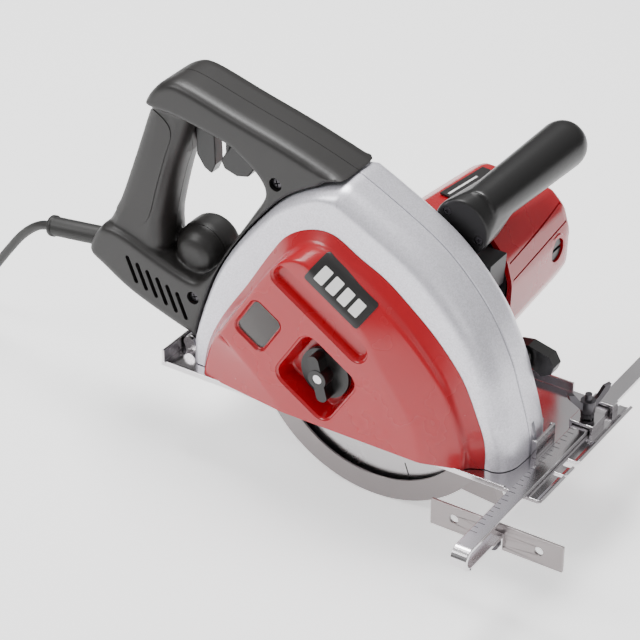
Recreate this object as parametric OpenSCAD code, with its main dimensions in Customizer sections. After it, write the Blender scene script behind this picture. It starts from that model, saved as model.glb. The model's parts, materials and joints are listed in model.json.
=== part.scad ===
/* [Blade] */
// Diameter of the saw blade
blade_d = 185; // [150:1:225]
// Thickness of the blade
blade_t = 1.8; // [1.4:0.1:2.6]
// Diameter of the bore in the blade
blade_bore = 20; // [16:0.5:25.4]
// Number of teeth
blade_teeth = 38; // [24:1:60]
// Diameter of the clamping flanges
flange_d = 40; // [32:1:48]
// Height of the blade axis over the sole
axis_h = 30; // [29:0.5:45]

/* [Guards] */
// Gap from the blade rim to the lower guard's rim wall
rim_gap = 3; // [2:0.5:5]
// Wall of the lower guard
lower_wall = 2.5; // [1.5:0.1:4]
// Width of the lower guard across the blade
lower_w = 18.5; // [16:0.5:24]
// Width of the lower guard's flat rim as seen from the side
lower_lip = 16; // [8:1:24]
// Degrees that the lower guard opens
lower_open = 110; // [60:5:115]
// Plane where the two guard shells meet, from the blade's middle
seam_y = 4; // [2:0.5:6]
// Outer face of the near guard shell, from the blade's middle
near_w = 26; // [22:1:34]
// Outer face of the far guard shell, from the blade's middle
far_w = 30; // [26:1:36]
// Wall of the guard shells
guard_wall = 4; // [3:0.5:6]

/* [Chip cover] */
// Outer face of the chip cover, from the blade's middle
cover_w = 44; // [40:1:56]
// Wall of the chip cover
cover_wall = 2.5; // [2:0.1:4]
// Diameter of the knob's disc
knob_d = 38; // [28:1:44]
// Side of the square pocket that holds the knob
pocket = 49; // [46:1:54]

/* [Base] */
// Thickness of the pressed base sheet
base_t = 3; // [2:0.1:4]
// Distance of the base's near edge from the blade's middle
base_near = 37; // [32:1:50]
// Distance of the base's far edge from the blade's middle
base_far = 89; // [70:1:120]
// Length of base behind the rear pivot
base_tail = 9; // [8:0.5:30]
// Length of base in front of the guard
base_nose = 23; // [23:1:50]
// Height of the base's rear flange
rear_flange = 12; // [8:0.5:16]
// Degrees that the base swings down
depth_swing = 10; // [4:0.5:10.5]

/* [Handle] */
// Width of the main handle
handle_w = 47; // [38:1:54]
// Reach of the main handle behind the guard
handle_reach = 92; // [80:1:120]
// Width of the rear grip
grip_w = 36; // [30:1:40]
// Diameter of the bar handle at its root
bar_d = 30; // [24:1:36]
// Diameter of the bar handle near its end
bar_end_d = 35; // [28:1:40]
// Length of the bar handle
bar_len = 122; // [90:1:150]

/* [Motor] */
// Far end of the motor housing, from the blade's middle
motor_end = 160; // [140:1:190]
// Wall of the motor housing
motor_wall = 3.5; // [2.5:0.5:5]
// Diameter of the armature
armature_d = 42; // [34:1:44]
// Diameter of the stator
stator_d = 68; // [60:1:70]

/* [Rip fence] */
// Width of the fence bar
bar_w = 12; // [10:0.5:16]
// Thickness of the fence bar
fence_t = 3; // [2:0.1:4]
// Distance of the fence plate from the blade's middle
fence_y = 66; // [60:1:75]
// Length of the fence plate
fence_len = 98; // [92:1:140]
// Height of the fence plate
fence_h = 20; // [16:1:26]
// Distance between the two holes in the fence plate
fence_holes = 63; // [50:1:80]
// Radius of the holes in the fence plate
fence_hole_r = 3.2; // [2:0.1:4]

/* [Mains lead] */
// Diameter of the mains lead
cord_d = 6.8; // [6:0.1:9]
// Diameter of the bend protector
sleeve_d = 14.5; // [12:0.5:18]
// Length of the bend protector
sleeve_len = 60; // [40:1:80]
// Turns in the coil of spare lead
coil_turns = 13; // [8:1:20]

/* [Hidden] */
$fn = 64;

// colours of the finishes
C_RED = "#c63c40";
C_SILVER = "#c9c6cb";
C_GREY = "#4b4744";
C_BLACK = "#2b2a28";
C_STEEL = "#b7b3b4";
C_DARKSTEEL = "#77757a";
C_COPPER = "#a5653c";

// running clearance of a shaft in a bore, and the gap between pieces that pass each other
fit = 0.05;
gap = 0.4;

// blade and lower guard
blade_r = blade_d / 2;
kb = blade_d / 185;
cut_r = blade_r + rim_gap;
lower_r = cut_r + lower_wall;
lower_near = -6;
lower_far = lower_near + lower_w;
hub_r = axis_h - base_t - 3;
boss_near = lower_near + 14;

// the guard outline's lowest edge stays just over the base's hem
hem_h = 1.2;
zb = base_t + hem_h + 0.8;

// base outline
pivot_x = -(139 * kb + 8);
pivot_z = base_t + 7;
base_rear = pivot_x - base_tail;
base_front = 118 * kb + base_nose;
slot_half = sqrt(pow(lower_r, 2) - pow(axis_h, 2)) + 8;
slot_front = 1.045 * lower_r + 9.5;

// gear train: pinion and middle gear, middle pinion and output gear
m1 = 1.2;
m2 = 1.4;
z_pin = 10;
z_mid = 30;
z_mpin = 14;
z_out = 30;
a1 = m1 * (z_pin + z_mid) / 2;
a2 = m2 * (z_mpin + z_out) / 2;
train_angle = 66;
mid_x = a2 * cos(train_angle);
mid_z = axis_h + a2 * sin(train_angle);
motor_x = (a1 + a2) * cos(train_angle);
motor_z = axis_h + (a1 + a2) * sin(train_angle);
case_far = far_w + 26;
plate_far = case_far + 3;

// main handle, centred on the guard's seam
handle_near_y = seam_y - handle_w / 2;
handle_far_y = seam_y + handle_w / 2;
kr = handle_reach / 92;

// depth clamp on the far side of the guard
clamp_x = pivot_x + 237;
clamp_z = pivot_z + 47;
clamp_r = norm([clamp_x - pivot_x, clamp_z - pivot_z]);
clamp_a = atan2(clamp_z - pivot_z, clamp_x - pivot_x);
arm_y = far_w + gap;

// fence bar over the front of the base
bar_x = base_front - 8.5;
bar_z = base_t + gap;
wing_y = 57;

// chip cover's panel axis and its fittings
tilt = -33;
knob_x = -21;
knob_z = 40;
pocket_floor = -(near_w + 1);

// cord route: from the bend protector's end down to the surface, then to the coil
floor_z = axis_h - lower_r;
sleeve_z = 61.5;
sleeve_drop = 7.3;
sleeve_end = [-139 * kb - 83 * kr - sleeve_len * cos(sleeve_drop), seam_y,
    sleeve_z - sleeve_len * sin(sleeve_drop)];
lay_z = floor_z + cord_d / 2;
cord_way = [[0, 0, 0], [-14, 0, 0.04], [-30, 1, 0.15], [-46, 2, 0.31], [-62, 4, 0.48], [-82, 8, 0.67],
    [-104, 18, 0.84], [-128, 38, 0.96], [-154, 62, 1], [-184, 84, 1], [-216, 104, 1], [-250, 118, 1],
    [-280, 128, 0.98], [-304, 134, 0.95], [-322, 138, 0.92]];
cord_pts = [for (q = cord_way) [sleeve_end[0] + q[0], seam_y + q[1], lerp(sleeve_end[2], lay_z, q[2])]];
coil_c = [sleeve_end[0] - 362, seam_y + 150];
coil_mean = 78;
coil_w = sqrt(coil_turns * cord_d * cord_d / 0.72);
coil_h = coil_w * 0.8;

// ---------------------------------------------------------------- helpers
function unit(v) = v / norm(v);
function lerp(a, b, t) = a * (1 - t) + b * t;
function mixed(p, q, t) = [for (i = [0:len(p) - 1]) lerp(p[i], q[i], t)];
function circle_pts(c, r, n = 32, a0 = 0) =
    [for (i = [0:n - 1]) [c[0] + r * cos(a0 + 360 * i / n), c[1] + r * sin(a0 + 360 * i / n)]];

// an outline moved inwards, each point by its own distance
function edge_in(a, b) = let (e = unit(b - a)) [-e[1], e[0]];
function inset(p, d) = let (n = len(p)) [for (i = [0:n - 1])
    let (u = edge_in(p[(i + n - 1) % n], p[i]), v = edge_in(p[i], p[(i + 1) % n]),
        s = unit(u + v), w = is_list(d) ? d[i] : d)
    p[i] + s * w / max(0.6, u * s)];

// corners of a rectangle cut back by straight chamfers
function chamfered(w, h, c) = [[w / 2, -h / 2 + c], [w / 2, h / 2 - c], [w / 2 - c, h / 2],
    [-w / 2 + c, h / 2], [-w / 2, h / 2 - c], [-w / 2, -h / 2 + c], [-w / 2 + c, -h / 2],
    [w / 2 - c, -h / 2]];

// a rectangle with round corners
function rounded(w, h, r, n = 6) = [for (q = [0:3], i = [0:n])
    let (a = q * 90 + 90 * i / n, sx = (q == 0 || q == 3) ? 1 : -1, sy = (q < 2) ? 1 : -1)
    [sx * (w / 2 - r) + r * cos(a), sy * (h / 2 - r) + r * sin(a)]];
function turned(p, a, c) = [for (q = p)
    [c[0] + q[0] * cos(a) - q[1] * sin(a), c[1] + q[0] * sin(a) + q[1] * cos(a)]];

// two circles joined by their tangents
function capsule(c1, r1, c2, r2, n = 20) =
    let (d = norm(c2 - c1), f = atan2(c2[1] - c1[1], c2[0] - c1[0]), al = acos((r1 - r2) / d))
    concat(
        [for (i = [0:n]) let (a = f - al + 2 * al * i / n) c2 + r2 * [cos(a), sin(a)]],
        [for (i = [0:n]) let (a = f + al + (360 - 2 * al) * i / n) c1 + r1 * [cos(a), sin(a)]]);

// part of a flat ring
function sector(c, r1, r2, a0, a1, n = 40) = concat(
    [for (i = [0:n]) let (a = lerp(a0, a1, i / n)) c + r2 * [cos(a), sin(a)]],
    [for (i = [0:n]) let (a = lerp(a1, a0, i / n)) c + r1 * [cos(a), sin(a)]]);

// an outline in X and Z made solid from y0 to y1
module xz(p, y0, y1) {
    translate([0, y1, 0])
        rotate([90, 0, 0])
            linear_extrude(y1 - y0)
                polygon(p);
}

// a cylinder along Y
module yrod(c, y0, y1, r) {
    translate([c[0], y1, c[1]])
        rotate([90, 0, 0])
            cylinder(h = y1 - y0, r = r);
}

// a tapered round bar along Y
module ycone(c, y0, y1, r0, r1) {
    translate([c[0], y1, c[1]])
        rotate([90, 0, 0])
            cylinder(h = y1 - y0, r1 = r1, r2 = r0);
}

// a skin over outlines in X and Z with equal numbers of points, each at its own y, in rising order
module loft(rings) {
    n = len(rings[0][1]);
    m = len(rings);
    polyhedron(
        points = [for (r = rings, p = r[1]) [p[0], r[0], p[1]]],
        faces = concat(
            [[for (i = [n - 1:-1:0]) i]],
            [for (k = [0:m - 2], i = [0:n - 1]) [k * n + i, k * n + (i + 1) % n, (k + 1) * n + (i + 1) % n]],
            [for (k = [0:m - 2], i = [0:n - 1]) [k * n + i, (k + 1) * n + (i + 1) % n, (k + 1) * n + i]],
            [[for (i = [0:n - 1]) (m - 1) * n + i]]),
        convexity = 8);
}

// a smooth curve through route points, cut into rings for a round tube
function spline(p, i, t) =
    let (n = len(p), a = p[max(i - 1, 0)], b = p[i], c = p[i + 1], d = p[min(i + 2, n - 1)])
    0.5 * ((2 * b) + (c - a) * t + (2 * a - 5 * b + 4 * c - d) * t * t
        + (3 * b - a - 3 * c + d) * t * t * t);
function route(p, step) = concat(
    [for (i = [0:len(p) - 2]) let (k = max(1, ceil(norm(p[i + 1] - p[i]) / step)))
        for (j = [0:k - 1]) spline(p, i, j / k)],
    [p[len(p) - 1]]);
module tube(p, r, sides = 10) {
    m = len(p);
    dir = [for (i = [0:m - 1]) unit(p[min(i + 1, m - 1)] - p[max(i - 1, 0)])];
    up = [for (i = [0:m - 1]) abs(dir[i][2]) < 0.9 ? [0, 0, 1] : [0, 1, 0]];
    side = [for (i = [0:m - 1]) unit(cross(up[0], dir[i]))];
    top = [for (i = [0:m - 1]) cross(dir[i], side[i])];
    polyhedron(
        points = [for (i = [0:m - 1], s = [0:sides - 1])
            p[i] + r * (cos(360 * s / sides) * side[i] + sin(360 * s / sides) * top[i])],
        faces = concat(
            [[for (s = [0:sides - 1]) s]],
            [for (i = [0:m - 2], s = [0:sides - 1])
                [i * sides + s, (i + 1) * sides + s, (i + 1) * sides + (s + 1) % sides]],
            [for (i = [0:m - 2], s = [0:sides - 1])
                [i * sides + s, (i + 1) * sides + (s + 1) % sides, i * sides + (s + 1) % sides]],
            [[for (s = [sides - 1:-1:0]) (m - 1) * sides + s]]));
}

// involute spur gear outline with a thinned, shortened tooth
function inv_pt(rb, t) = rb * [cos(t) + t * PI / 180 * sin(t), sin(t) - t * PI / 180 * cos(t)];
function inv_ang(rb, r) = sqrt(pow(r / rb, 2) - 1) * 180 / PI - acos(rb / r);
function gear_pts(m, z, slack = 0.16) =
    let (rp = m * z / 2, rb = rp * cos(22), ra = rp + 0.85 * m, rf = rp - 1.15 * m,
        half = 90 / z - slack / rp * 180 / PI / 2 * 1.6,
        base_a = half + inv_ang(rb, rp),
        r0 = max(rb, rf))
    [for (i = [0:z - 1]) let (c = 360 * i / z)
        for (p = concat(
            [[rf, -180 / z + 0.30 * (180 / z - base_a)]],
            [[rf, -base_a]],
            [for (k = [0:4]) let (r = lerp(r0, ra, k / 4)) [r, -(base_a - inv_ang(rb, r))]],
            [for (k = [4:-1:0]) let (r = lerp(r0, ra, k / 4)) [r, base_a - inv_ang(rb, r)]],
            [[rf, base_a]]))
        p[0] * [cos(c + p[1]), sin(c + p[1])]];
module gear(c, m, z, phase, y0, y1, bore) {
    difference() {
        translate([c[0], y1, c[1]])
            rotate([90, 0, 0])
                rotate([0, 0, phase])
                    linear_extrude(y1 - y0)
                        polygon(gear_pts(m, z));
        yrod(c, y0 - 1, y1 + 1, bore);
    }
}

// ---------------------------------------------------------------- outlines
// points given about the blade axis, grown with the blade
function about(p) = [for (q = p) [q[0] * kb, axis_h + q[1] * kb]];
front_edge = [[118, -40], [118, -22], [117, -10], [113, 6], [108, 22], [103, 38], [96, 54], [86, 72],
    [72, 90], [55, 107], [37, 120], [10, 135], [-16, 148]];
rear_edge = [[-36, 142], [-62, 126], [-86, 100], [-106, 73], [-120, 48], [-132, 16], [-139, -11],
    [-139, -40]];
seam_pts = about(concat(front_edge, rear_edge));

// how far each point of the outline comes in at the shells' outer faces
n_front = len(front_edge);
n_rear = len(rear_edge);
function soft(a, b) = concat([for (i = [0:n_front - 1]) a], [for (i = [0:n_rear - 1]) b]);

// the cover's rim on the near shell, from the rear corner round the bottom
cover_rim = about([[99, -40], [100, -10], [93, 12], [81, 38], [62, 61], [43, 78], [22, 94], [2, 104],
    [-19, 115], [-38, 113], [-56, 102], [-70, 83], [-88, 54], [-109, 22], [-122, -6], [-128, -40]]);
cover_mid = about([[90, -40], [90, -12], [84, 8], [72, 33], [54, 55], [36, 72], [16, 87], [-2, 97],
    [-20, 107], [-36, 106], [-51, 96], [-65, 78], [-84, 50], [-106, 20], [-118, -6], [-125, -40]]);
cover_top = about([[58, -40], [57, -16], [50, 4], [38, 22], [26, 38], [18, 52], [4, 66], [-12, 78],
    [-26, 92], [-37, 96], [-48, 91], [-62, 75], [-80, 48], [-98, 20], [-70, -2], [-34, -40]]);

// the handle's frame and grip, as points that follow the guard and the reach
function hp(p) = [for (q = p) [q[0] > -139 ? q[0] * kb : -139 * kb + (q[0] + 139) * kr,
    axis_h + (q[1] - 30) * kb]];
frame_front = [for (i = [n_front + n_rear - 2:-1:n_front]) seam_pts[i] + [-0.2, 0]];
frame_pts = concat(
    frame_front,
    hp([[-17, 179], [-60, 193], [-105, 205], [-146, 216], [-161, 213], [-172, 203], [-178, 192],
        [-168, 190], [-150, 189], [-112, 181], [-98, 174], [-84, 163], [-80, 151], [-92, 130],
        [-112, 99], [-122, 82], [-132, 70], [-143, 66], [-170, 74], [-200, 85], [-216, 86],
        [-224, 79], [-231, 66], [-230, 58], [-219, 51], [-195, 37], [-156, 23]]));
n_ff = len(frame_front);
frame_soft = [for (i = [0:len(frame_pts) - 1]) i < n_ff ? 0 : 2.5];
grip_pts = hp([[-172, 72], [-168, 100], [-158, 140], [-147, 170], [-142, 194], [-172, 198],
    [-179, 186], [-192, 150], [-207, 110], [-214, 96], [-221, 80], [-210, 72]]);
boss_c = [-139 * kb - 8 * kr, axis_h + 47 * kb];
boss_r = 21;

// the motor housing's sections near the gear case and at its end
motor_in = [[22, -46], [38, -36], [46, -20], [47, 12], [42, 30], [28, 46], [-26, 53], [-40, 44],
    [-47, 20], [-46, -24], [-36, -40], [-18, -47]];
motor_out = [[18, -42], [32, -34], [39, -20], [40, 6], [35, 23], [24, 34], [-29, 39], [-41, 32],
    [-44, 10], [-42, -24], [-32, -38], [-18, -43]];
function at_motor(p) = [for (q = p) [motor_x + q[0], motor_z + q[1]]];
motor_len = motor_end - plate_far;

// bar handle's line, a little forward and up from the guard
bar_c = [50, far_w + 4, 152];
bar_yaw = 4.5;
bar_pitch = 3;

// ---------------------------------------------------------------- guard shells
module floor_cut() {
    translate([-400, -200, -200])
        cube([800, 400, 200 + zb]);
}

// slot that the chips leave the blade chamber by, inside the cover's rim
chip_mouth = inset(cover_rim, 9);

module guard_near() {
    outer = [
        [-near_w, inset(seam_pts, soft(14, 8))],
        [-near_w + 2, inset(seam_pts, soft(11, 5))],
        [-near_w + 6, inset(seam_pts, soft(6.5, 1))],
        [-near_w + 12, inset(seam_pts, soft(2.5, 0))],
        [-near_w + 18, inset(seam_pts, soft(0.6, 0))],
        [seam_y, seam_pts]];
    inner = [
        [-near_w + guard_wall, inset(seam_pts, soft(17, 13))],
        [-near_w + 10, inset(seam_pts, soft(9, 6))],
        [-near_w + 18, inset(seam_pts, guard_wall)],
        [seam_y + 1, inset(seam_pts, guard_wall)]];
    lug = capsule([pivot_x, pivot_z], 5, [pivot_x + 9, pivot_z + 1], 6);
    color(C_SILVER)
        difference() {
            union() {
                difference() {
                    loft(outer);
                    loft(inner);
                    // chip mouth with an arm left for the knob's nut
                    difference() {
                        xz(chip_mouth, -near_w - 1, -near_w + guard_wall + 1);
                        xz(capsule([knob_x * kb, knob_z], 15, [knob_x * kb - 100, knob_z + 14], 19),
                            -near_w - 2, -near_w + guard_wall + 2);
                    }
                    floor_cut();
                }
                // rear pivot lug
                difference() {
                    xz(lug, -9, seam_y);
                }
            }
            yrod([pivot_x, pivot_z], -20, 40, 3 + fit);
            yrod([knob_x * kb, knob_z], -near_w - 3, -near_w + 8, 4);
        }
}

module guard_far() {
    outer = [
        [seam_y, seam_pts],
        [far_w - 9, inset(seam_pts, soft(0.6, 0))],
        [far_w - 4, inset(seam_pts, soft(3, 1.5))],
        [far_w - 1, inset(seam_pts, soft(6.5, 4))],
        [far_w, inset(seam_pts, soft(9, 6))]];
    inner = [
        [seam_y - 1, inset(seam_pts, guard_wall)],
        [far_w - 10, inset(seam_pts, guard_wall)],
        [far_w - guard_wall, inset(seam_pts, soft(9, 8))]];
    lug = capsule([pivot_x, pivot_z], 5, [pivot_x + 9, pivot_z + 1], 6);
    color(C_SILVER)
        difference() {
            union() {
                difference() {
                    loft(outer);
                    loft(inner);
                    // opening for the gear case's boss
                    yrod([0, axis_h], seam_y, far_w + 1, hub_r);
                    // curved slot that the depth bolt runs in
                    xz(sector([pivot_x, pivot_z], clamp_r - 4.6, clamp_r + 4.6, clamp_a - depth_swing - 1.2,
                        clamp_a + 1.1), far_w - guard_wall - 1, far_w + 1);
                    floor_cut();
                    // front vent slit
                    translate([104 * kb, far_w - 13, zb + 5])
                        cube([30, 3, 16]);
                }
                difference() {
                    xz(lug, seam_y, 20);
                }
            }
            yrod([pivot_x, pivot_z], -20, 40, 3 + fit);
        }
}

// sprung inner guard that covers the blade under the base
module lower_guard() {
    c = [0, axis_h];
    far_out = 2 * lower_r;
    color(C_STEEL)
        difference() {
            union() {
                // flat rim on the near side, wall round the teeth and far disc, open above
                difference() {
                    yrod(c, lower_near, lower_far, lower_r);
                    yrod(c, lower_near + 1.8, lower_far - 1.8, cut_r);
                    yrod(c, lower_near - 1, lower_near + 2.5, lower_r - lower_lip);
                    xz([c, c + far_out * [cos(4), -sin(4)], c + far_out * [1, 1],
                        c + far_out * [-1, 1], c + far_out * [-cos(6), sin(6)]], lower_near - 1, lower_far + 1);
                }
                yrod(c, lower_far - 1.8, lower_far, hub_r + 12);
                yrod(c, lower_far - 5, lower_far - 1, hub_r + 4);
                // forward lip that rides up on the work
                xz([c + (lower_r - 1.6) * [cos(26), -sin(26)], c + (lower_r - 1.6) * [cos(36), -sin(36)],
                    c + (lower_r - 1.6) * [cos(46), -sin(46)], c + (lower_r + 5) * [cos(43), -sin(43)],
                    c + (lower_r + 25) * [cos(36), -sin(36)],
                    c + (lower_r + 12) * [cos(31), -sin(31)]], lower_near + 4, lower_far - 6);
            }
            yrod(c, lower_near - 1, lower_far + 1, hub_r + fit);
        }
}

// coiled return spring round the boss, between the lower guard and the far wall
module guard_spring() {
    n = 44;
    color(C_DARKSTEEL)
        tube([for (i = [0:n]) let (a = 360 * 3 * i / n)
            [(hub_r + 1.5) * cos(a), lower_far + 3 + 8 * i / n, axis_h + (hub_r + 1.5) * sin(a)]], 0.8, 8);
}

// ---------------------------------------------------------------- drive
module gear_case() {
    c0 = [0, axis_h];
    c1 = [motor_x, motor_z];
    color(C_DARKSTEEL)
        difference() {
            union() {
                // boss that carries the spindle and the lower guard
                yrod(c0, boss_near, far_w + 1, hub_r);
                xz(capsule(c0, axis_h - zb + 0.2, c1, 33), far_w, case_far);
                // seat for the bar handle's foot
                xz([[24, motor_z + 20], [64, motor_z + 14], [66, 118], [30, 118]], far_w + 4, case_far);
            }
            // chamber for the gears
            xz(capsule(c0, m2 * z_out / 2 + 2.2, [mid_x, mid_z], m1 * z_mid / 2 + 3), far_w + 3, case_far + 1);
            yrod(c1, far_w + 12, case_far + 1, 12);
            // spindle passage and its bearing's seat
            yrod(c0, boss_near - 1, far_w + 4, 10.5);
            yrod(c0, boss_near + 2, boss_near + 11, 13);
        }
}

// plate between the gear case and the motor, with the bearings' seats
module bearing_plate() {
    c0 = [0, axis_h];
    c1 = [motor_x, motor_z];
    color(C_DARKSTEEL)
        difference() {
            xz(capsule(c0, axis_h - zb + 0.2, c1, 33), case_far, plate_far);
            yrod(c1, case_far - 1, plate_far + 1, 9.5);
            yrod(c0, case_far - 1, plate_far - 1, 10);
            yrod([mid_x, mid_z], case_far - 1, plate_far - 1, 6.5);
        }
}

module bearings() {
    c0 = [0, axis_h];
    c1 = [motor_x, motor_z];
    color(C_STEEL) {
        difference() {
            yrod(c0, boss_near + 2, boss_near + 11, 13);
            yrod(c0, boss_near + 1, boss_near + 12, 8 + fit);
        }
        difference() {
            yrod(c0, case_far - 3, plate_far - 1, 10);
            yrod(c0, case_far - 4, plate_far, 6 + fit);
        }
        difference() {
            yrod(c1, case_far - 2, plate_far, 9.5);
            yrod(c1, case_far - 3, plate_far + 1, 4 + fit);
        }
        difference() {
            yrod([mid_x, mid_z], case_far - 3, plate_far - 1, 6.5);
            yrod([mid_x, mid_z], case_far - 4, plate_far, 4 + fit);
        }
        difference() {
            yrod(c1, motor_end - 15, motor_end - 8, 11);
            yrod(c1, motor_end - 16, motor_end - 7, 4 + fit);
        }
    }
}

module spindle() {
    c = [0, axis_h];
    color(C_STEEL)
        difference() {
            union() {
                yrod(c, -blade_t / 2, 6, blade_bore / 2);
                yrod(c, 5.5, case_far - 4, 8);
                yrod(c, case_far - 5, plate_far - 1.4, 6);
            }
            yrod(c, -10, 16, 4);
        }
}

module inner_flange() {
    c = [0, axis_h];
    color(C_DARKSTEEL)
        difference() {
            yrod(c, blade_t / 2, 6, flange_d / 2);
            yrod(c, -1, 10, blade_bore / 2);
        }
}

module blade() {
    c = [0, axis_h];
    n = blade_teeth;
    color(C_STEEL)
        difference() {
            xz([for (i = [0:n - 1], t = [[0, 0], [0.10, -5.5], [0.42, -6], [0.62, -2.2], [0.94, -0.3]])
                let (a = 360 * (i + t[0]) / n) c + (blade_r + t[1]) * [cos(a), sin(a)]],
                -blade_t / 2, blade_t / 2);
            yrod(c, -5, 5, blade_bore / 2);
            // expansion slots
            for (i = [0:3])
                xz(turned([[blade_r - 22, -0.5], [blade_r + 2, -0.5], [blade_r + 2, 0.5],
                    [blade_r - 22, 0.5]], i * 90 + 20, c), -5, 5);
        }
}

module outer_flange() {
    c = [0, axis_h];
    color(C_DARKSTEEL)
        difference() {
            yrod(c, -blade_t / 2 - 3.6, -blade_t / 2, flange_d / 2);
            yrod(c, -10, 5, 4);
        }
}

module blade_bolt() {
    c = [0, axis_h];
    y0 = -blade_t / 2 - 3.6;
    color(C_DARKSTEEL)
        union() {
            yrod(c, y0, 14, 4);
            yrod(c, y0 - 1.6, y0, 9);
            xz(circle_pts(c, 7.5, 6, 30), y0 - 7.2, y0 - 1.6);
        }
}

module output_gear() {
    color(C_DARKSTEEL)
        gear([0, axis_h], m2, z_out, train_angle + 180 / z_out, far_w + 5, far_w + 13, 8);
}

module mid_shaft() {
    c = [mid_x, mid_z];
    color(C_STEEL)
        union() {
            yrod(c, far_w + 3.4, plate_far - 1.4, 4);
            translate([c[0], far_w + 13.6, c[1]])
                rotate([90, 0, 0])
                    rotate([0, 0, train_angle + 180 + 360 / z_mpin * 0])
                        linear_extrude(9.2)
                            polygon(gear_pts(m2, z_mpin));
        }
}

module mid_gear() {
    color(C_DARKSTEEL)
        gear([mid_x, mid_z], m1, z_mid, train_angle + 180 / z_mid, far_w + 14.4, far_w + 21, 4);
}

module armature() {
    c = [motor_x, motor_z];
    y0 = plate_far + 16;
    y1 = motor_end - 48;
    color(C_STEEL)
        union() {
            yrod(c, far_w + 14, motor_end - 9, 4);
            translate([c[0], far_w + 21.4, c[1]])
                rotate([90, 0, 0])
                    rotate([0, 0, train_angle + 180])
                        linear_extrude(7.4)
                            polygon(gear_pts(m1, z_pin));
            yrod(c, y0, y1, armature_d / 2);
            yrod(c, y0 - 6, y1 + 6, armature_d / 2 - 4);
        }
}

module commutator() {
    c = [motor_x, motor_z];
    color(C_COPPER)
        difference() {
            yrod(c, motor_end - 36, motor_end - 20, 12.5);
            yrod(c, motor_end - 40, motor_end - 10, 4);
        }
}

module fan() {
    c = [motor_x, motor_z];
    color(C_BLACK)
        difference() {
            union() {
                yrod(c, plate_far + 2, plate_far + 4, 31);
                yrod(c, plate_far + 2, plate_far + 9, 8);
                for (i = [0:10])
                    xz(turned([[8, -0.8], [30, -0.8], [30, 0.8], [8, 0.8]], i * 360 / 11 + 5, c),
                        plate_far + 3, plate_far + 9);
            }
            yrod(c, plate_far, plate_far + 12, 4);
        }
}

module stator() {
    c = [motor_x, motor_z];
    color(C_DARKSTEEL)
        difference() {
            yrod(c, plate_far + 16, motor_end - 48, stator_d / 2);
            yrod(c, plate_far + 10, motor_end - 40, armature_d / 2 + 0.5);
        }
}

module brush_gear() {
    y = motor_end - 26;
    color(C_COPPER)
        for (s = [-1, 1])
            translate([motor_x + s * 13, y, motor_z])
                rotate([0, s * 90, 0])
                    cylinder(h = 20, r = 5);
}

module brush_caps() {
    y = motor_end - 26;
    color(C_BLACK)
        for (s = [-1, 1])
            translate([motor_x + s * 33, y, motor_z])
                rotate([0, s * 90, 0])
                    difference() {
                        cylinder(h = 7, r = 8);
                        translate([-1.25, -9, 5])
                            cube([2.5, 18, 3]);
                    }
}

module motor_housing() {
    a = at_motor(motor_in);
    b = at_motor(motor_out);
    y = motor_end - 26;
    color(C_RED)
        difference() {
            union() {
                loft([[plate_far, a], [lerp(plate_far, motor_end, 0.45), mixed(a, b, 0.5)],
                    [motor_end - 12, b], [motor_end - 3, inset(b, 2)], [motor_end, inset(b, 6)]]);
                // boss for the end bearing is inside, bosses for the brush caps are outside
                for (s = [-1, 1])
                    translate([motor_x + s * 30, y, motor_z])
                        rotate([0, s * 90, 0])
                            cylinder(h = 12, r = 12);
            }
            difference() {
                loft([[plate_far - 1, inset(a, motor_wall)],
                    [lerp(plate_far, motor_end, 0.45), inset(mixed(a, b, 0.5), motor_wall)],
                    [motor_end - 12, inset(b, motor_wall)],
                    [motor_end - 8, inset(b, motor_wall + 2)]]);
                yrod([motor_x, motor_z], motor_end - 16, motor_end, 15);
                for (s = [-1, 1])
                    translate([motor_x + s * 31, y, motor_z])
                        rotate([0, s * 90, 0])
                            cylinder(h = 15, r = 11);
            }
            yrod([motor_x, motor_z], motor_end - 17, motor_end - 8, 11);
            for (s = [-1, 1])
                translate([motor_x + s * 28, y, motor_z])
                    rotate([0, s * 90, 0]) {
                        cylinder(h = 22, r = 8);
                    }
            // air slots in the end
            for (i = [-2:2])
                translate([motor_x + i * 9 - 2, motor_end - 9, motor_z - 34])
                    cube([4, 12, 14]);
        }
}

// printed plate on the slope of the motor housing's top
module rating_plate() {
    a = at_motor(motor_in);
    b = at_motor(motor_out);
    y0 = plate_far + 22;
    y1 = motor_end - 16;
    function slope(y, k) = lerp(lerp(a[5], b[5], (y - plate_far) / (motor_end - 12 - plate_far)),
        lerp(a[6], b[6], (y - plate_far) / (motor_end - 12 - plate_far)), k);
    p = [slope(y0, 0.94), slope(y0, 0.35), slope(y1, 0.94), slope(y1, 0.35)];
    color(C_BLACK)
        polyhedron(
            points = [
                [p[0][0], y0, p[0][1] + 1.1], [p[1][0], y0, p[1][1] + 1.1],
                [p[2][0], y1, p[2][1] + 1.1], [p[3][0], y1, p[3][1] + 1.1],
                [p[0][0], y0, p[0][1] + 2.3], [p[1][0], y0, p[1][1] + 2.3],
                [p[2][0], y1, p[2][1] + 2.3], [p[3][0], y1, p[3][1] + 2.3]],
            faces = [[0, 2, 3], [0, 3, 1], [4, 5, 7], [4, 7, 6], [0, 1, 5], [0, 5, 4], [2, 6, 7], [2, 7, 3],
                [0, 4, 6], [0, 6, 2], [1, 3, 7], [1, 7, 5]]);
}

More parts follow.
